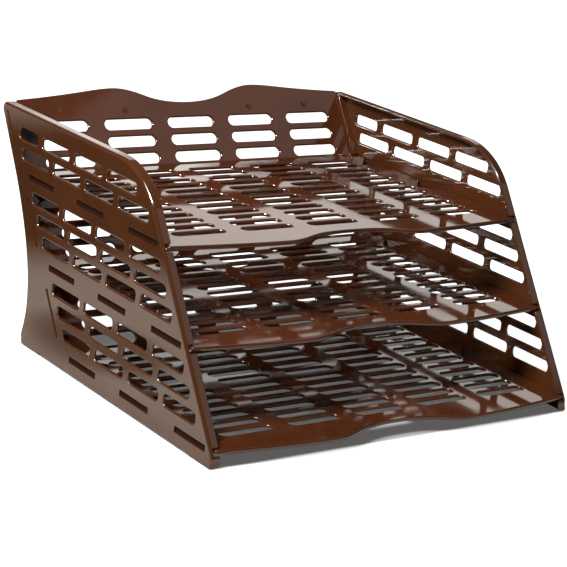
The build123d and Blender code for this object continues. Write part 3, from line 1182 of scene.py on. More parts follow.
@dataclass
class Tray:
    """Slotted tray: floor with a wavy front edge and a bead under it, and a leaning wall.

    Sizes are in millimetres. Lengths run back from the panels' front edge line over the floor
    and on up the wall, and rises start where the wall does.

    Attributes:
        name: Name of its object.
        tier: The tray, counted from the lowest.
        stack: Sizes shared with the panels.
        slot_size: Length and width of a slot.
        slot_columns: Slots across.
        column_pitch: From one column to the next.
        row_pitch: From one row to the next.
        floor_rows: Rows in the floor.
        floor_first: Length of the floor's first row.
        wall_rows: Rows in the wall.
        wall_first: Rise of the wall's first row.
        slot_rim: Rounding of the slots' rims.
        notch_length: Length of the notch behind each tab.
        notch_depth: How far it reaches into the floor.
        notch_behind: Its middle behind the tab's middle.
        notch_end: Least floor between a notch and the wall.
        side: Side edge from the middle.
        tongue_side: Side edge of the front corner that reaches into the panel's notch.
        tongue_depth: Length where that corner's narrower side ends.
        wall_side: Side edge of the wall's narrower part, between the rims.
        shoulder_rise: Rise where that part starts.
        bend_radius: Inside radius between floor and wall.
        bend_steps: Steps round the bend.
        side_radius: Rounding of the side edges.
        front_radius: Rounding of the front edge.
        top_radius: Rounding of the wall's top edge.
        back_radius: Largest rounding at the back face.
        front_blend: Length where the front edge's rounding ends, and over which it fades.
        top_blend: Rise where the top edge's rounding starts, and over which it grows.
        bead_blend: Distance across where the bead ends, and over which it fades.
        tongue_radii: Rounding of the front corner's three corners.
        notch_radii: Rounding of a notch's four corners.
        shoulder_radii: Rounding of the wall's shoulder, its inner corner and its top corner.
        front_grid: How far across the front wave is laid out, and in how many points.
        top_grid: The same for the top wave.
        front_knots: Distance across, length and slope of the front edge's wave.
        top_knots: Distance across, rise and slope of the top edge's wave.
    """

    name: str
    tier: int
    stack: StackMeasures
    slot_size: tuple[float, float] = (44.6, 9.0)
    slot_columns: int = 5
    column_pitch: float = 60.15
    row_pitch: float = 14.83
    floor_rows: int = 12
    floor_first: float = 24.3
    wall_rows: int = 3
    wall_first: float = 6.4
    slot_rim: float = 1.15
    notch_length: float = 34.6
    notch_depth: float = 1.5
    notch_behind: float = 37.2
    notch_end: float = 1.5
    side: float = 163.7
    tongue_side: float = 162.5
    tongue_depth: float = 6.0
    wall_side: float = 158.0
    shoulder_rise: float = 53.5
    bend_radius: float = 1.2
    bend_steps: int = 6
    side_radius: float = 0.35
    front_radius: float = 1.4
    top_radius: float = 0.9
    back_radius: float = 1.2
    front_blend: tuple[float, float] = (5.0, 4.0)
    top_blend: tuple[float, float] = (54.0, 3.0)
    bead_blend: tuple[float, float] = (156.6, 3.0)
    tongue_radii: tuple[float, ...] = (2.0, 0.3, 0.5)
    notch_radii: tuple[float, ...] = (0.3, 0.5, 0.5, 0.3)
    shoulder_radii: tuple[float, ...] = (0.8, 0.6, 2.5)
    front_grid: tuple[float, int] = (157.5, 106)
    top_grid: tuple[float, int] = (152.0, 100)
    front_knots: tuple[tuple[float, float, float], ...] = (
        (0.0, 3.3, 0.0),
        (39.0, -3.85, -0.461),
        (62.0, -11.0, 0.0),
        (162.5, -1.9, 0.118),
    )
    top_knots: tuple[tuple[float, float, float], ...] = (
        (0.0, 53.6, 0.0),
        (39.0, 60.5, 0.406),
        (68.0, 67.5, 0.0),
        (95.0, 65.3, -0.12),
        (158.0, 59.6, -0.06),
    )

    @property
    def turn(self) -> float:
        """Angle between the floor and the wall's continuation of it."""
        return math.pi / 2 - self.stack.wall_angle

    @property
    def bend_reach(self) -> float:
        """Length from the sharp corner to where the bend starts and ends."""
        return self.bend_radius * math.tan(self.turn / 2)

    @property
    def bend_lengths(self) -> Array:
        """Lengths of the bend's steps, with both ends."""
        return self.stack.floor_depth + self.bend_reach * np.linspace(-1, 1, self.bend_steps + 1)

    def place(self, x: Array, length: Array, depth: Array) -> Array:
        """Bend the developed tray into its L.

        Along the tray the length runs over the floor, through an arc about an axis above the
        corner, and up the wall. Depth is measured square to that line, away from the axis.

        Args:
            x: Distances across.
            length: Lengths back from the panel's front line and on up the wall.
            depth: Depths under the upper face.

        Returns:
            Points in the frame.
        """
        stack, reach, radius = self.stack, self.bend_reach, self.bend_radius
        past = length - stack.floor_depth
        angle = self.turn * np.clip((past + reach) / (2 * reach), 0, 1)
        floor_run = np.minimum(past, -reach)
        wall_run = np.maximum(past - reach, 0)
        station = floor_run + radius * np.sin(angle) + wall_run * math.cos(self.turn) + depth * np.sin(angle)
        height = radius * (1 - np.cos(angle)) + wall_run * math.sin(self.turn) - depth * np.cos(angle)
        start = stack.tier_front(self.tier) + stack.floor_depth
        return stack.to_frame(x, start + station, stack.floor_height(self.tier) + height)

    def notches(self) -> list[tuple[float, float]]:
        """Notches in a side edge, one behind each tab.

        Returns:
            Lengths at which each notch starts and ends.
        """
        front, half = self.stack.tier_front(self.tier), self.notch_length / 2
        places = TrayTabs(self.stack).floor_places(self.tier)
        middles = [station - front + self.notch_behind for station, _ in places]
        last = self.stack.floor_depth - self.notch_end
        return [(middle - half, min(middle + half, last)) for middle in middles]

    def half_outline(self) -> Array:
        """Right half of the outline, from the middle of the front to the middle of the top.

        The front and top waves are laid out as cubic pieces over the distance across. A path of
        rounded corners joins them, with a point at each step of the bend.

        Returns:
            Points, distance across and length in each row.
        """
        depth = self.stack.floor_depth
        front_x = np.linspace(0, *self.front_grid)
        front = np.stack([front_x, hermite(front_x, list(self.front_knots))], axis=1)
        top_reach, top_count = self.top_grid
        top_x = np.linspace(top_reach, 0, top_count)
        top = np.stack([top_x, depth + hermite(top_x, list(self.top_knots))], axis=1)
        shoulder = depth + self.shoulder_rise
        corners = [
            tuple(front[-1]),
            (self.tongue_side, self.front_knots[-1][1]),
            (self.tongue_side, self.tongue_depth),
            (self.side, self.tongue_depth),
        ]
        radii = [*self.tongue_radii]
        inner = self.side - self.notch_depth
        for near, far in self.notches():
            corners += [(self.side, near), (inner, near), (inner, far), (self.side, far)]
            radii += self.notch_radii
        corners += [
            (self.side, shoulder),
            (self.wall_side, shoulder),
            (self.wall_side, depth + self.top_knots[-1][1]),
            tuple(top[0]),
        ]
        path = rounded_path(corners, [*radii, *self.shoulder_radii], arc_step=0.15)
        above = np.flatnonzero(path[:, 1] > depth)[0]
        bend = self.bend_lengths
        side = np.stack([np.full(len(bend), self.side), bend], axis=1)
        path = np.concatenate([path[:above], side, path[above:]])
        return np.concatenate([front[:-1], path, top[1:]])

    def slot_centres(self) -> Array:
        """Middles of the slots, row by row over the floor and up the wall.

        Returns:
            Distance across and length in each row.
        """
        columns = (np.arange(self.slot_columns) - (self.slot_columns - 1) / 2) * self.column_pitch
        floor_rows = self.floor_first + self.row_pitch * np.arange(self.floor_rows)
        wall_rows = self.stack.floor_depth + self.wall_first + self.row_pitch * np.arange(self.wall_rows)
        rows = np.concatenate([floor_rows, wall_rows])
        return np.stack(np.meshgrid(columns, rows), axis=-1).reshape(-1, 2)

    def sheet(self) -> Sheet:
        """Floor and wall as one developed sheet.

        Returns:
            The sheet, with a tie across at each step of the bend.
        """
        half = self.half_outline()
        mirrored = half[::-1] * np.array([-1, 1])
        loop = np.concatenate([half, mirrored[1:-1]])
        front_end, front_fade = self.front_blend
        top_start, top_fade = self.top_blend
        bead_end, bead_fade = self.bead_blend
        front = smoothstep((front_end - loop[:, 1]) / front_fade)
        top = smoothstep((loop[:, 1] - self.stack.floor_depth - top_start) / top_fade)
        bead = front * smoothstep((bead_end - np.abs(loop[:, 0])) / bead_fade)
        more_at_front = self.front_radius - self.side_radius
        more_at_top = self.top_radius - self.side_radius
        radius = self.side_radius + more_at_front * front + more_at_top * top
        sheet = Sheet(self.stack.tray_wall, self.place, round_steps=5)
        sheet.cut(loop, radius, np.minimum(radius, self.back_radius), hole=False, bead=bead)
        length, width = self.slot_size
        slots = slot_loops(self.slot_centres(), length, width, width / 2)
        sheet.cut(slots, self.slot_rim, self.slot_rim)
        for bend in self.bend_lengths:
            sheet.tie((-self.side, float(bend)), (self.side, float(bend)))
        return sheet

    def build(self) -> bpy.types.Object:
        """Gather the floor, the wall and the tabs.

        Returns:
            The tray's object.
        """
        parts = MeshParts()
        self.sheet().add_to(parts)
        for side in (-1, 1):
            for tab in TrayTabs(self.stack).sheets(self.tier, side):
                tab.add_to(parts)
        return parts.make(self.name)


# ---- Shader maths --------------------------------------------------------------------------
class Operation(Enum):
    """Operations of a Math node."""

    ADD = "ADD"
    SUBTRACT = "SUBTRACT"
    MULTIPLY = "MULTIPLY"
    DIVIDE = "DIVIDE"
    POWER = "POWER"
    MAXIMUM = "MAXIMUM"
    ABSOLUTE = "ABSOLUTE"


class Wire:
    """A shader socket that can be added, subtracted, multiplied, divided and raised."""

    def __init__(self, graph: Graph, socket: bpy.types.NodeSocket) -> None:
        """Hold a node's output and the graph it is in."""
        self.graph = graph
        self.socket = socket

    def __add__(self, other: Wire | float) -> Wire:
        """This value and another."""
        return self.graph.maths(Operation.ADD, self, other)

    def __radd__(self, other: float) -> Wire:
        """A number and this value."""
        return self.graph.maths(Operation.ADD, other, self)

    def __sub__(self, other: Wire | float) -> Wire:
        """This value less another."""
        return self.graph.maths(Operation.SUBTRACT, self, other)

    def __rsub__(self, other: float) -> Wire:
        """A number less this value."""
        return self.graph.maths(Operation.SUBTRACT, other, self)

    def __mul__(self, other: Wire | float) -> Wire:
        """This value times another."""
        return self.graph.maths(Operation.MULTIPLY, self, other)

    def __rmul__(self, other: float) -> Wire:
        """A number times this value."""
        return self.graph.maths(Operation.MULTIPLY, other, self)

    def __truediv__(self, other: Wire | float) -> Wire:
        """This value over another."""
        return self.graph.maths(Operation.DIVIDE, self, other)

    def __rtruediv__(self, other: float) -> Wire:
        """A number over this value."""
        return self.graph.maths(Operation.DIVIDE, other, self)

    def __pow__(self, other: Wire | float) -> Wire:
        """This value raised to another."""
        return self.graph.maths(Operation.POWER, self, other)

    def __rpow__(self, other: float) -> Wire:
        """A number raised to this value."""
        return self.graph.maths(Operation.POWER, other, self)

    def clamped(self) -> Wire:
        """The value held between 0 and 1."""
        return self.graph.maths(Operation.MULTIPLY, self, 1.0, clamp=True)

    def eased(self, low: float, high: float) -> Wire:
        """A smooth step.

        Args:
            low: Value up to which it is 0.
            high: Value from which it is 1.

        Returns:
            The step.
        """
        settings = {"interpolation_type": "SMOOTHSTEP"}
        inputs = {"Value": self, "From Min": low, "From Max": high}
        return self.graph.node("ShaderNodeMapRange", settings, inputs)["Result"]


class Outputs:
    """A node's outputs by name, as wires."""

    def __init__(self, graph: Graph, node: bpy.types.Node) -> None:
        """Hold the node."""
        self.graph = graph
        self.node = node

    def __getitem__(self, name: str | int) -> Wire:
        """The output of a name or number."""
        return Wire(self.graph, self.node.outputs[name])


class Graph:
    """Nodes of a material or the world."""

    def __init__(self, tree: bpy.types.NodeTree) -> None:
        """Start from an empty tree."""
        self.tree = tree
        tree.nodes.clear()

    def node(self, kind: str, settings: dict | None = None, inputs: dict | None = None) -> Outputs:
        """Add a node.

        Args:
            kind: Blender's name of the node's type.
            settings: Properties to set.
            inputs: Wires or constants by the input's name or number.

        Returns:
            The node's outputs.
        """
        node = self.tree.nodes.new(kind)
        for key, value in (settings or {}).items():
            setattr(node, key, value)
        for key, value in (inputs or {}).items():
            if isinstance(value, Wire):
                self.tree.links.new(value.socket, node.inputs[key])
            else:
                node.inputs[key].default_value = value
        return Outputs(self, node)

    def maths(
        self, operation: Operation, first: Wire | float, second: Wire | float, clamp: bool = False
    ) -> Wire:
        """One operation on two wires or numbers.

        Args:
            operation: The operation.
            first: First value.
            second: Second value, which has no effect on an absolute value.
            clamp: Whether to hold the result between 0 and 1.

        Returns:
            The result.
        """
        settings = {"operation": operation.value, "use_clamp": clamp}
        return self.node("ShaderNodeMath", settings, {0: first, 1: second})[0]

    def mix(self, share: Wire, first: Wire | Colour, second: Wire | Colour) -> Wire:
        """Mix two colours.

        Args:
            share: Share of the second.
            first: Colour at 0.
            second: Colour at 1.

        Returns:
            The mixed colour.
        """
        ends = [end if isinstance(end, Wire) else (*end, 1.0) for end in (first, second)]
        return self.node("ShaderNodeMix", {"data_type": "RGBA"}, {0: share, 6: ends[0], 7: ends[1]})[2]

    def join(self, red: Wire | float, green: Wire | float, blue: Wire | float) -> Wire:
        """A colour from its three parts."""
        return self.node("ShaderNodeCombineXYZ", None, {"X": red, "Y": green, "Z": blue})["Vector"]


def linear(red: int, green: int, blue: int) -> Colour:
    """Linear colour of an sRGB one.

    Args:
        red: Red from 0 to 255.
        green: Green from 0 to 255.
        blue: Blue from 0 to 255.

    Returns:
        The colour, each part from 0 to 1.
    """
    def one(value: int) -> float:
        """Undo the sRGB curve for one part."""
        share = value / 255
        return share / 12.92 if share <= 0.04045 else ((share + 0.055) / 1.055) ** 2.4

    return one(red), one(green), one(blue)


# ---- Finishes ------------------------------------------------------------------------------
@dataclass(frozen=True)
class PinMarks:
    """Round marks that the mould's pins leave on the top tray's wall, in millimetres.

    Attributes:
        across: Their distances from the middle, on both sides.
        back: How far they are behind the frame's origin.
        height: Their height above the table.
        radius: Their radius.
    """

    across: tuple[float, ...] = (61.3, 119.5)
    back: float = 156.2
    height: float = 174.5
    radius: float = 3.4

    def places(self) -> tuple[tuple[float, float, float], ...]:
        """Centres on the wall's front face, in the frame."""
        level = (self.back * MM, self.height * MM)
        return tuple((side * distance * MM, *level) for distance in self.across for side in (-1, 1))


@dataclass(frozen=True)
class GlossPlastic:
    """Glossy moulded polystyrene with faint waviness, fine grain and a little dust.

    Lengths are in metres, and a scale is one over the size of its pattern's features.

    Attributes:
        name: Name of the material.
        colour: Colour of the plastic.
        deep_colour: Colour of its darker patches.
        roughness: Roughness where it is clean.
        smudge_roughness: What a smudge adds to it.
        dust_roughness: What dust adds to it.
        ior: Refractive index.
        wave_height: Height of the waviness.
        grain_height: Height of the grain.
        dust: Share of the dust's own colour in a speck.
        dust_colour: Colour of the dust.
        patch_scale: Scale of the darker patches.
        wave_scale: Scale of the waviness.
        grain_scale: Scale of the grain.
        smudge_scale: Scale of the smudges.
        speck_scale: Scale of the specks of dust.
        drift_scale: Scale of the drifts that the specks gather in.
        patch_range: Noise from which a patch's colour starts and is full.
        smudge_range: The same for a smudge.
        drift_range: The same for a drift.
        speck_range: Distance in a cell at which a speck starts to end and has ended.
        marks: Centres of round marks.
        mark_radius: Their radius.
        mark_depth: Their depth.
        shaded_tab_beyond: Distance from the middle beyond which a tab's end gets painted shade, a dark colour
            for the mortise's shade.
        shaded_tab_edge: How softly that painted shade starts.
        painted_shade_colour: Colour of the painted shade.
        shaded_tab_roughness: Roughness of the painted shade.
        shaded_tab_specular: Its level of reflection, kept low as part of the painted shade.
    """

    name: str
    colour: Colour
    deep_colour: Colour
    roughness: float = 0.05
    smudge_roughness: float = 0.05
    dust_roughness: float = 0.3
    ior: float = 1.59
    wave_height: float = 0.00002
    grain_height: float = 0.0000004
    dust: float = 0.05
    dust_colour: Colour = (0.6, 0.55, 0.5)
    patch_scale: float = 14.0
    wave_scale: float = 60.0
    grain_scale: float = 2600.0
    smudge_scale: float = 38.0
    speck_scale: float = 420.0
    drift_scale: float = 150.0
    patch_range: tuple[float, float] = (0.3, 0.7)
    smudge_range: tuple[float, float] = (0.45, 0.75)
    drift_range: tuple[float, float] = (0.6, 0.68)
    speck_range: tuple[float, float] = (0.05, 0.12)
    marks: tuple[tuple[float, float, float], ...] = ()
    mark_radius: float = 0.0034
    mark_depth: float = 0.0004
    shaded_tab_beyond: float = 1.0
    shaded_tab_edge: float = 0.0002
    painted_shade_colour: Colour = (0.03, 0.007, 0.003)
    shaded_tab_roughness: float = 0.8
    shaded_tab_specular: float = 0.05

    def noise(self, graph: Graph, where: Wire, scale: float, detail: float = 2.0) -> Wire:
        """Noise from 0 to 1 with features about 1/scale metres across.

        Args:
            graph: Nodes of the material.
            where: Place on the piece.
            scale: One over the features' size.
            detail: Number of finer layers.

        Returns:
            The noise.
        """
        inputs = {"Vector": where, "Scale": scale, "Detail": detail, "Roughness": 0.5}
        return graph.node("ShaderNodeTexNoise", None, inputs)["Fac"]

    def specks(self, graph: Graph, where: Wire) -> Wire:
        """Dust: dots at the middles of Voronoi cells, where a broad noise is high.

        Args:
            graph: Nodes of the material.
            where: Place on the piece.

        Returns:
            Share of dust.
        """
        inputs = {"Vector": where, "Scale": self.speck_scale}
        cells = graph.node("ShaderNodeTexVoronoi", {"feature": "F1"}, inputs)
        dots = 1.0 - cells["Distance"].eased(*self.speck_range)
        return dots * self.noise(graph, where, self.drift_scale, 0.0).eased(*self.drift_range) * self.dust

    def relief(self, graph: Graph, where: Wire) -> Wire:
        """Normal of the waviness, the grain and the round marks, each a shallow dish.

        Args:
            graph: Nodes of the material.
            where: Place on the piece.

        Returns:
            The normal.
        """
        waves = self.noise(graph, where, self.wave_scale, 1.0) * self.wave_height
        height = waves + self.noise(graph, where, self.grain_scale, 1.0) * self.grain_height
        for centre in self.marks:
            inputs = {0: where, 1: centre}
            distance = graph.node("ShaderNodeVectorMath", {"operation": "DISTANCE"}, inputs)["Value"]
            height = height - (1.0 - distance.eased(0.0, self.mark_radius)) * self.mark_depth
        inputs = {"Strength": 1.0, "Distance": 1.0, "Height": height}
        return graph.node("ShaderNodeBump", None, inputs)["Normal"]

    def build(self) -> bpy.types.Material:
        """Make the material.

        Returns:
            The plastic, with painted shade on a tab's end where it stands in a mortise.
        """
        material = bpy.data.materials.new(self.name)
        material.use_nodes = True
        graph = Graph(material.node_tree)
        where = graph.node("ShaderNodeTexCoord")["Object"]
        dust = self.specks(graph, where)
        patches = self.noise(graph, where, self.patch_scale).eased(*self.patch_range)
        clean = graph.mix(patches, self.deep_colour, self.colour)
        smudges = self.noise(graph, where, self.smudge_scale, 5.0).eased(*self.smudge_range)
        gloss = {
            "Base Color": graph.mix(dust, clean, self.dust_colour),
            "Roughness": self.roughness + smudges * self.smudge_roughness + dust * self.dust_roughness,
            "IOR": self.ior,
            "Normal": self.relief(graph, where),
        }
        # Painted shade: the tabs' ends are dark and hardly reflect, standing for the shade inside the
        # mortises.
        painted_tab_shade = {
            "Base Color": (*self.painted_shade_colour, 1.0),
            "Roughness": self.shaded_tab_roughness,
            "Specular IOR Level": self.shaded_tab_specular,
        }
        # Past a distance from the middle, the tabs' ends take the painted shade.
        across = graph.node("ShaderNodeSeparateXYZ", None, {"Vector": where})["X"]
        distance = graph.maths(Operation.ABSOLUTE, across, 0.0)
        inputs = {
            0: (distance - self.shaded_tab_beyond).eased(0.0, self.shaded_tab_edge),
            1: graph.node("ShaderNodeBsdfPrincipled", None, gloss)["BSDF"],
            2: graph.node("ShaderNodeBsdfPrincipled", None, painted_tab_shade)["BSDF"],
        }
        mixed = graph.node("ShaderNodeMixShader", None, inputs)[0]
        graph.node("ShaderNodeOutputMaterial", None, {"Surface": mixed})
        return material


# ---- Studio --------------------------------------------------------------------------------
class Ray(Enum):
    """Kinds of ray that the surround and the table tell apart."""

    CAMERA = "Is Camera Ray"
    DIFFUSE = "Is Diffuse Ray"
    GLOSSY = "Is Glossy Ray"
    TRANSMISSION = "Is Transmission Ray"


@dataclass(frozen=True)
class Softbox:
    """Square light that faces a point.

    Attributes:
        name: Name of the light.
        place: Where it stands.
        aim: Point that it faces.
        size: Width and height.
        radiance: Brightness of its face, where the white surround is 1.
        colour: Tint of the light.
        lights_matt: Whether matt surfaces get its light, and not reflections alone.
    """

    name: str
    place: tuple[float, float, float]
    aim: tuple[float, float, float]
    size: tuple[float, float]
    radiance: float
    colour: Colour = (1.0, 1.0, 1.0)
    lights_matt: bool = True

    def build(self) -> None:
        """Make the light. Its power is radiance x area x pi, so that its face has that radiance."""
        light = bpy.data.lights.new(self.name, "AREA")
        light.shape = "RECTANGLE"
        light.size, light.size_y = self.size
        light.energy = self.radiance * self.size[0] * self.size[1] * math.pi
        light.color = self.colour
        obj = bpy.data.objects.new(self.name, light)
        facing = (Vector(self.aim) - Vector(self.place)).to_track_quat("-Z", "Y")
        obj.matrix_world = Matrix.Translation(self.place) @ facing.to_matrix().to_4x4()
        obj.visible_camera = False
        obj.visible_diffuse = self.lights_matt
        bpy.context.scene.collection.objects.link(obj)


@dataclass(frozen=True)
class Viewpoint:
    """Camera that looks along an azimuth and elevation, rolled about its axis.

    Attributes:
        place: Where it stands.
        azimuth: Turn of its view from straight back, to the left.
        elevation: How far it looks down.
        roll: Turn about its axis.
        lens: Focal length in millimetres.
        sensor: Width of the sensor in millimetres.
        clip: Nearest and furthest distance that it sees.
    """

    place: tuple[float, float, float] = (-0.8628, -1.1299, 0.4914)
    azimuth: float = math.radians(-37.384)
    elevation: float = math.radians(16.533)
    roll: float = math.radians(6.489)
    lens: float = 120.2
    sensor: float = 36.0
    clip: tuple[float, float] = (0.05, 50.0)

    def build(self) -> None:
        """Make the camera and give it to the scene."""
        cosine, sine = math.cos(self.elevation), math.sin(self.elevation)
        ahead = Vector((-math.sin(self.azimuth) * cosine, math.cos(self.azimuth) * cosine, -sine))
        level = Vector((math.cos(self.azimuth), math.sin(self.azimuth), 0))
        upright = level.cross(ahead)
        right = level * math.cos(self.roll) + upright * math.sin(self.roll)
        up = upright * math.cos(self.roll) - level * math.sin(self.roll)
        camera = bpy.data.cameras.new("camera")
        camera.lens = self.lens
        camera.sensor_width = self.sensor
        camera.clip_start, camera.clip_end = self.clip
        obj = bpy.data.objects.new("camera", camera)
        turn = Matrix((right, up, -ahead)).transposed().to_4x4()
        obj.matrix_world = Matrix.Translation(self.place) @ turn
        bpy.context.scene.collection.objects.link(obj)
        bpy.context.scene.camera = obj


@dataclass(frozen=True)
class Table:
    """White table under the stack, in metres.

    Beyond the stack's footprint a camera's ray sees it glow up to white, and a painted shadow inside it.
    A reflection sees it glow less and warmer, a painted reflection, and loses it in a painted dark band of
    middle distance and in a painted shade patch beside the rear left.

    Attributes:
        reach: Half its size.
        albedo: Share of light that it gives back.
        bounce: The same for light that goes on to matt surfaces.
        glow: What a camera's ray sees added beyond the footprint.
        footprint: Half sizes of the stack's footprint across and back.
        footprint_middle: How far back the footprint's middle is.
        shadow_glow: Share of the glow inside the footprint, where the table is left darker as a painted
            shadow.
        shadow_loss: Albedo that a camera's ray loses there, more of the painted shadow under the stack.
        shadow_edge: How softly the footprint and its painted shadow end across and back.
        gloss: What a reflection sees added, a painted reflection of a brighter table.
        gloss_start: Distance from the footprint at which a reflection sees all of it.
        warmth: Blue that a reflection loses, a painted warm tint in reflections.
        green_warmth: Green that it loses, as a share of the blue.
        far_loss: Distances from the footprint over which reflections lose the table, a painted dark band.
        far_return: Distances over which they find it again.
        far_share: Share that they lose between the two.
        reflected_shade_place: Middle of the painted shade patch beside the rear left, seen only in
            reflections.
        reflected_shade_size: Its half sizes.
        reflected_shade_edge: Squared distances, in half sizes, over which the patch ends.
        reflected_shade_share: Share that reflections lose there, as painted shade.
        dark: Albedo of the painted dark that they see instead.
    """

    reach: float = 20.0
    albedo: float = 0.86
    bounce: float = 0.35
    glow: float = 0.95
    footprint: tuple[float, float] = (0.1663, 0.135)
    footprint_middle: float = -0.023
    shadow_glow: float = 0.1
    shadow_loss: float = 0.4
    shadow_edge: tuple[float, float] = (0.0009, 0.006)
    gloss: float = 0.45
    gloss_start: float = 0.03
    warmth: float = 0.2
    green_warmth: float = 0.4
    far_loss: tuple[float, float] = (0.17, 0.32)
    far_return: tuple[float, float] = (0.72, 0.92)
    far_share: float = 0.95
    reflected_shade_place: tuple[float, float] = (-0.225, 0.09)
    reflected_shade_size: tuple[float, float] = (0.045, 0.085)
    reflected_shade_edge: tuple[float, float] = (0.25, 1.6)
    reflected_shade_share: float = 0.75
    dark: Colour = (0.02, 0.02, 0.02)

    def beyond_footprint(self, graph: Graph, parts: Outputs) -> tuple[Wire, Wire]:
        """Distances from the footprint: the place's distance from its middle, less its half size.

        Args:
            graph: Nodes of the table.
            parts: The place's parts.

        Returns:
            Distances across and back, 0 inside.
        """
        middles = (parts["X"], parts["Y"] - self.footprint_middle)
        across, back = (
            graph.maths(Operation.MAXIMUM, graph.maths(Operation.ABSOLUTE, offset, 0.0) - half, 0.0)
            for offset, half in zip(middles, self.footprint)
        )
        return across, back

    def painted_reflection_shade(self, parts: Outputs) -> Wire:
        """Share that reflections lose in the painted shade patch, an ellipse with a soft edge.

        Args:
            parts: The place's parts.

        Returns:
            The share.
        """
        across = (parts["X"] - self.reflected_shade_place[0]) / self.reflected_shade_size[0]
        back = (parts["Y"] - self.reflected_shade_place[1]) / self.reflected_shade_size[1]
        return (1.0 - (across * across + back * back).eased(*self.reflected_shade_edge)) * self.reflected_shade_share

    def material(self) -> bpy.types.Material:
        """Make the table's material: a matt surface with a glow added to it, a painted shadow under the stack
        and painted reflections.

        Returns:
            The material.
        """
        material = bpy.data.materials.new("studio_floor")
        material.use_nodes = True
        graph = Graph(material.node_tree)
        path = graph.node("ShaderNodeLightPath")
        camera, diffuse, glossy = (path[ray.value] for ray in (Ray.CAMERA, Ray.DIFFUSE, Ray.GLOSSY))
        where = graph.node("ShaderNodeTexCoord")["Object"]
        parts = graph.node("ShaderNodeSeparateXYZ", None, {"Vector": where})
        across, back = self.beyond_footprint(graph, parts)
        distance = (across * across + back * back) ** 0.5
        # Painted reflection: reflections see a dark band of the table at middle distance.
        band = distance.eased(*self.far_loss) * (1.0 - distance.eased(*self.far_return))
        # Painted shade in reflections: a dark patch of table beside the rear left.
        reflected_shade = self.painted_reflection_shade(parts)
        edge_across, edge_back = self.shadow_edge
        beyond = graph.maths(Operation.MAXIMUM, across.eased(0.0, edge_across), back.eased(0.0, edge_back))
        seen = (self.shadow_glow + beyond * (1.0 - self.shadow_glow)) * camera
        # Painted reflection: reflections see the table glow brighter near the stack.
        mirrored = distance.eased(0.0, self.gloss_start) * (1.0 - band) * (1.0 - reflected_shade) * glossy
        glow = seen * self.glow + mirrored * self.gloss
        # Painted shadow: inside the footprint the camera sees the table with less albedo and less glow.
        under = (1.0 - beyond) * camera * self.shadow_loss
        albedo = self.albedo - diffuse * (self.albedo - self.bounce) - under
        # Painted warm tint of the table, seen only in reflections.
        green = 1.0 - glossy * (self.warmth * self.green_warmth)
        blue = 1.0 - glossy * self.warmth
        tone = graph.join(albedo, albedo * green, albedo * blue)
        lost = graph.maths(Operation.MAXIMUM, band * self.far_share, reflected_shade) * glossy
        inputs = {
            0: lost,
            1: graph.node("ShaderNodeBsdfDiffuse", None, {"Color": tone})["BSDF"],
            2: graph.node("ShaderNodeBsdfDiffuse", None, {"Color": (*self.dark, 1.0)})["BSDF"],
        }
        matt = graph.node("ShaderNodeMixShader", None, inputs)[0]
        inputs = {"Color": graph.join(1.0, green, blue), "Strength": glow}
        added = graph.node("ShaderNodeEmission", None, inputs)["Emission"]
        total = graph.node("ShaderNodeAddShader", None, {0: matt, 1: added})[0]
        graph.node("ShaderNodeOutputMaterial", None, {"Surface": total})
        return material

    def build(self) -> None:
        """Make the table, one large square under the stack."""
        reach = self.reach
        mesh = bpy.data.meshes.new("studio_floor")
        corners = [(-reach, -reach, 0), (reach, -reach, 0), (reach, reach, 0), (-reach, reach, 0)]
        mesh.from_pydata(corners, [], [(0, 1, 2, 3)])
        floor = bpy.data.objects.new("studio_floor", mesh)
        bpy.context.scene.collection.objects.link(floor)
        mesh.materials.append(self.material())
        floor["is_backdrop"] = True


@dataclass(frozen=True)
class Studio:
    """Dim room with a white table and backdrop, and a key light overhead on the left.

    Attributes:
        ambient: Strength of the surround as a light.
        room: Strength of the surround in reflections.
        table: The table.
        lights: The lights.
    """

    ambient: float = 0.04
    room: float = 0.08
    table: Table = Table()
    lights: tuple[Softbox, ...] = (
        Softbox("key", place=(-0.82, -0.22, 1.15), aim=(0.0, 0.0, 0.1), size=(0.5, 0.5), radiance=27.5),
        Softbox(
            "key_centre",
            place=(-0.81, -0.35, 1.14),
            aim=(0.0, 0.0, 0.1),
            size=(0.24, 0.24),
            radiance=500.0,
            lights_matt=False,
        ),
        Softbox(
            "backdrop",
            place=(2.6, 3.4, 1.92),
            aim=(0.0, 0.0, 0.15),
            size=(5.0, 1.6),
            radiance=1.35,
            colour=(1.0, 0.96, 0.9),
        ),
        Softbox(
            "backdrop_foot",
            place=(2.0, 3.85, 0.85),
            aim=(0.0, 0.0, 0.15),
            size=(0.95, 0.75),
            radiance=0.7,
            colour=(1.0, 0.96, 0.9),
            lights_matt=False,
        ),
        Softbox(
            "front_right",
            place=(1.75, -1.6, 1.85),
            aim=(0.0, 0.1, 0.15),
            size=(1.1, 1.1),
            radiance=0.5,
            colour=(1.0, 0.95, 0.9),
            lights_matt=False,
        ),
    )

    def world(self) -> None:
        """White for rays that show it, dimmer as a light and in reflections."""
        world = bpy.data.worlds.new("surround")
        bpy.context.scene.world = world
        world.use_nodes = True
        graph = Graph(world.node_tree)
        path = graph.node("ShaderNodeLightPath")
        seen = (path[Ray.CAMERA.value] + path[Ray.TRANSMISSION.value]).clamped()
        glossy = path[Ray.GLOSSY.value] * (1.0 - seen)
        strength = seen + glossy * self.room + (1.0 - seen) * (1.0 - glossy) * self.ambient
        inputs = {"Color": (1.0, 1.0, 1.0, 1.0), "Strength": strength}
        background = graph.node("ShaderNodeBackground", None, inputs)
        graph.node("ShaderNodeOutputWorld", None, {"Surface": background["Background"]})

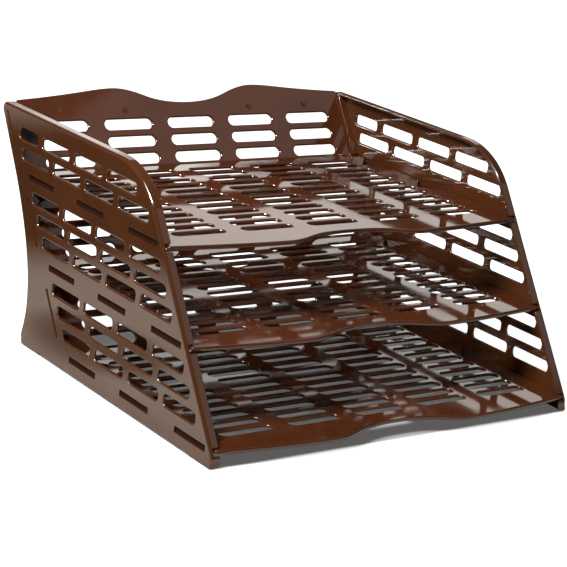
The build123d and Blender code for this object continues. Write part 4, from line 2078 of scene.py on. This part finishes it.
    def build(self) -> None:
        """Make the surround, the table and the lights."""
        self.world()
        self.table.build()
        for light in self.lights:
            light.build()


# ---- The scene -----------------------------------------------------------------------------
def dress(piece: bpy.types.Object, node: str, material: bpy.types.Material) -> None:
    """Give a piece its finish and set it in its node's place.

    Args:
        piece: The piece.
        node: Node that it replaces.
        material: Its finish.
    """
    piece.data.materials.append(material)
    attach(piece, ROOT)
    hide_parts(node)
    log.info("%s: %d faces", piece.name, len(piece.data.polygons))


def write_size(before: object, after: object) -> None:
    """Turn the bounds at the start and at the end into plain lists and numbers, which are then dropped.

    Args:
        before: Bounds straight after the frame is loaded.
        after: Bounds of the finished scene.
    """
    def plain(value: object) -> object:
        """Turn vectors and arrays into lists of numbers.

        Args:
            value: Bounds, or a part of them.

        Returns:
            The same in lists, dictionaries and numbers.
        """
        if isinstance(value, dict):
            return {key: plain(item) for key, item in value.items()}
        if isinstance(value, (list, tuple, Vector, np.ndarray)):
            return [plain(item) for item in value]
        return float(value) if isinstance(value, (float, int, np.floating)) else value

    {"start": plain(before), "end": plain(after)}


def main() -> None:
    """Build the panels, the trays and the studio."""
    logging.basicConfig(level=logging.INFO)
    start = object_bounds()
    stack = StackMeasures()
    panel_finish = GlossPlastic(
        "panel_plastic",
        colour=linear(87, 48, 22),
        deep_colour=linear(79, 42, 18),
        wave_height=0.000005,
    ).build()
    marks = PinMarks()
    tray_finish = GlossPlastic(
        "tray_plastic",
        colour=linear(92, 48, 26),
        deep_colour=linear(82, 42, 22),
        marks=marks.places(),
        mark_radius=marks.radius * MM,
        # The tabs' ends beyond this distance get the painted shade of the mortises.
        shaded_tab_beyond=0.1646,
    ).build()
    for name, side in (("left_side_panel", -1), ("right_side_panel", 1)):
        dress(SidePanel(f"{name}_look", side, stack).build(), name, panel_finish)
    for tier, name in enumerate(("bottom_tray", "middle_tray", "top_tray")):
        dress(Tray(f"{name}_look", tier, stack).build(), name, tray_finish)
    Studio().build()
    Viewpoint().build()
    bpy.context.scene.view_settings.view_transform = "Standard"
    write_size(start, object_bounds())


if __name__ == "__main__":
    main()
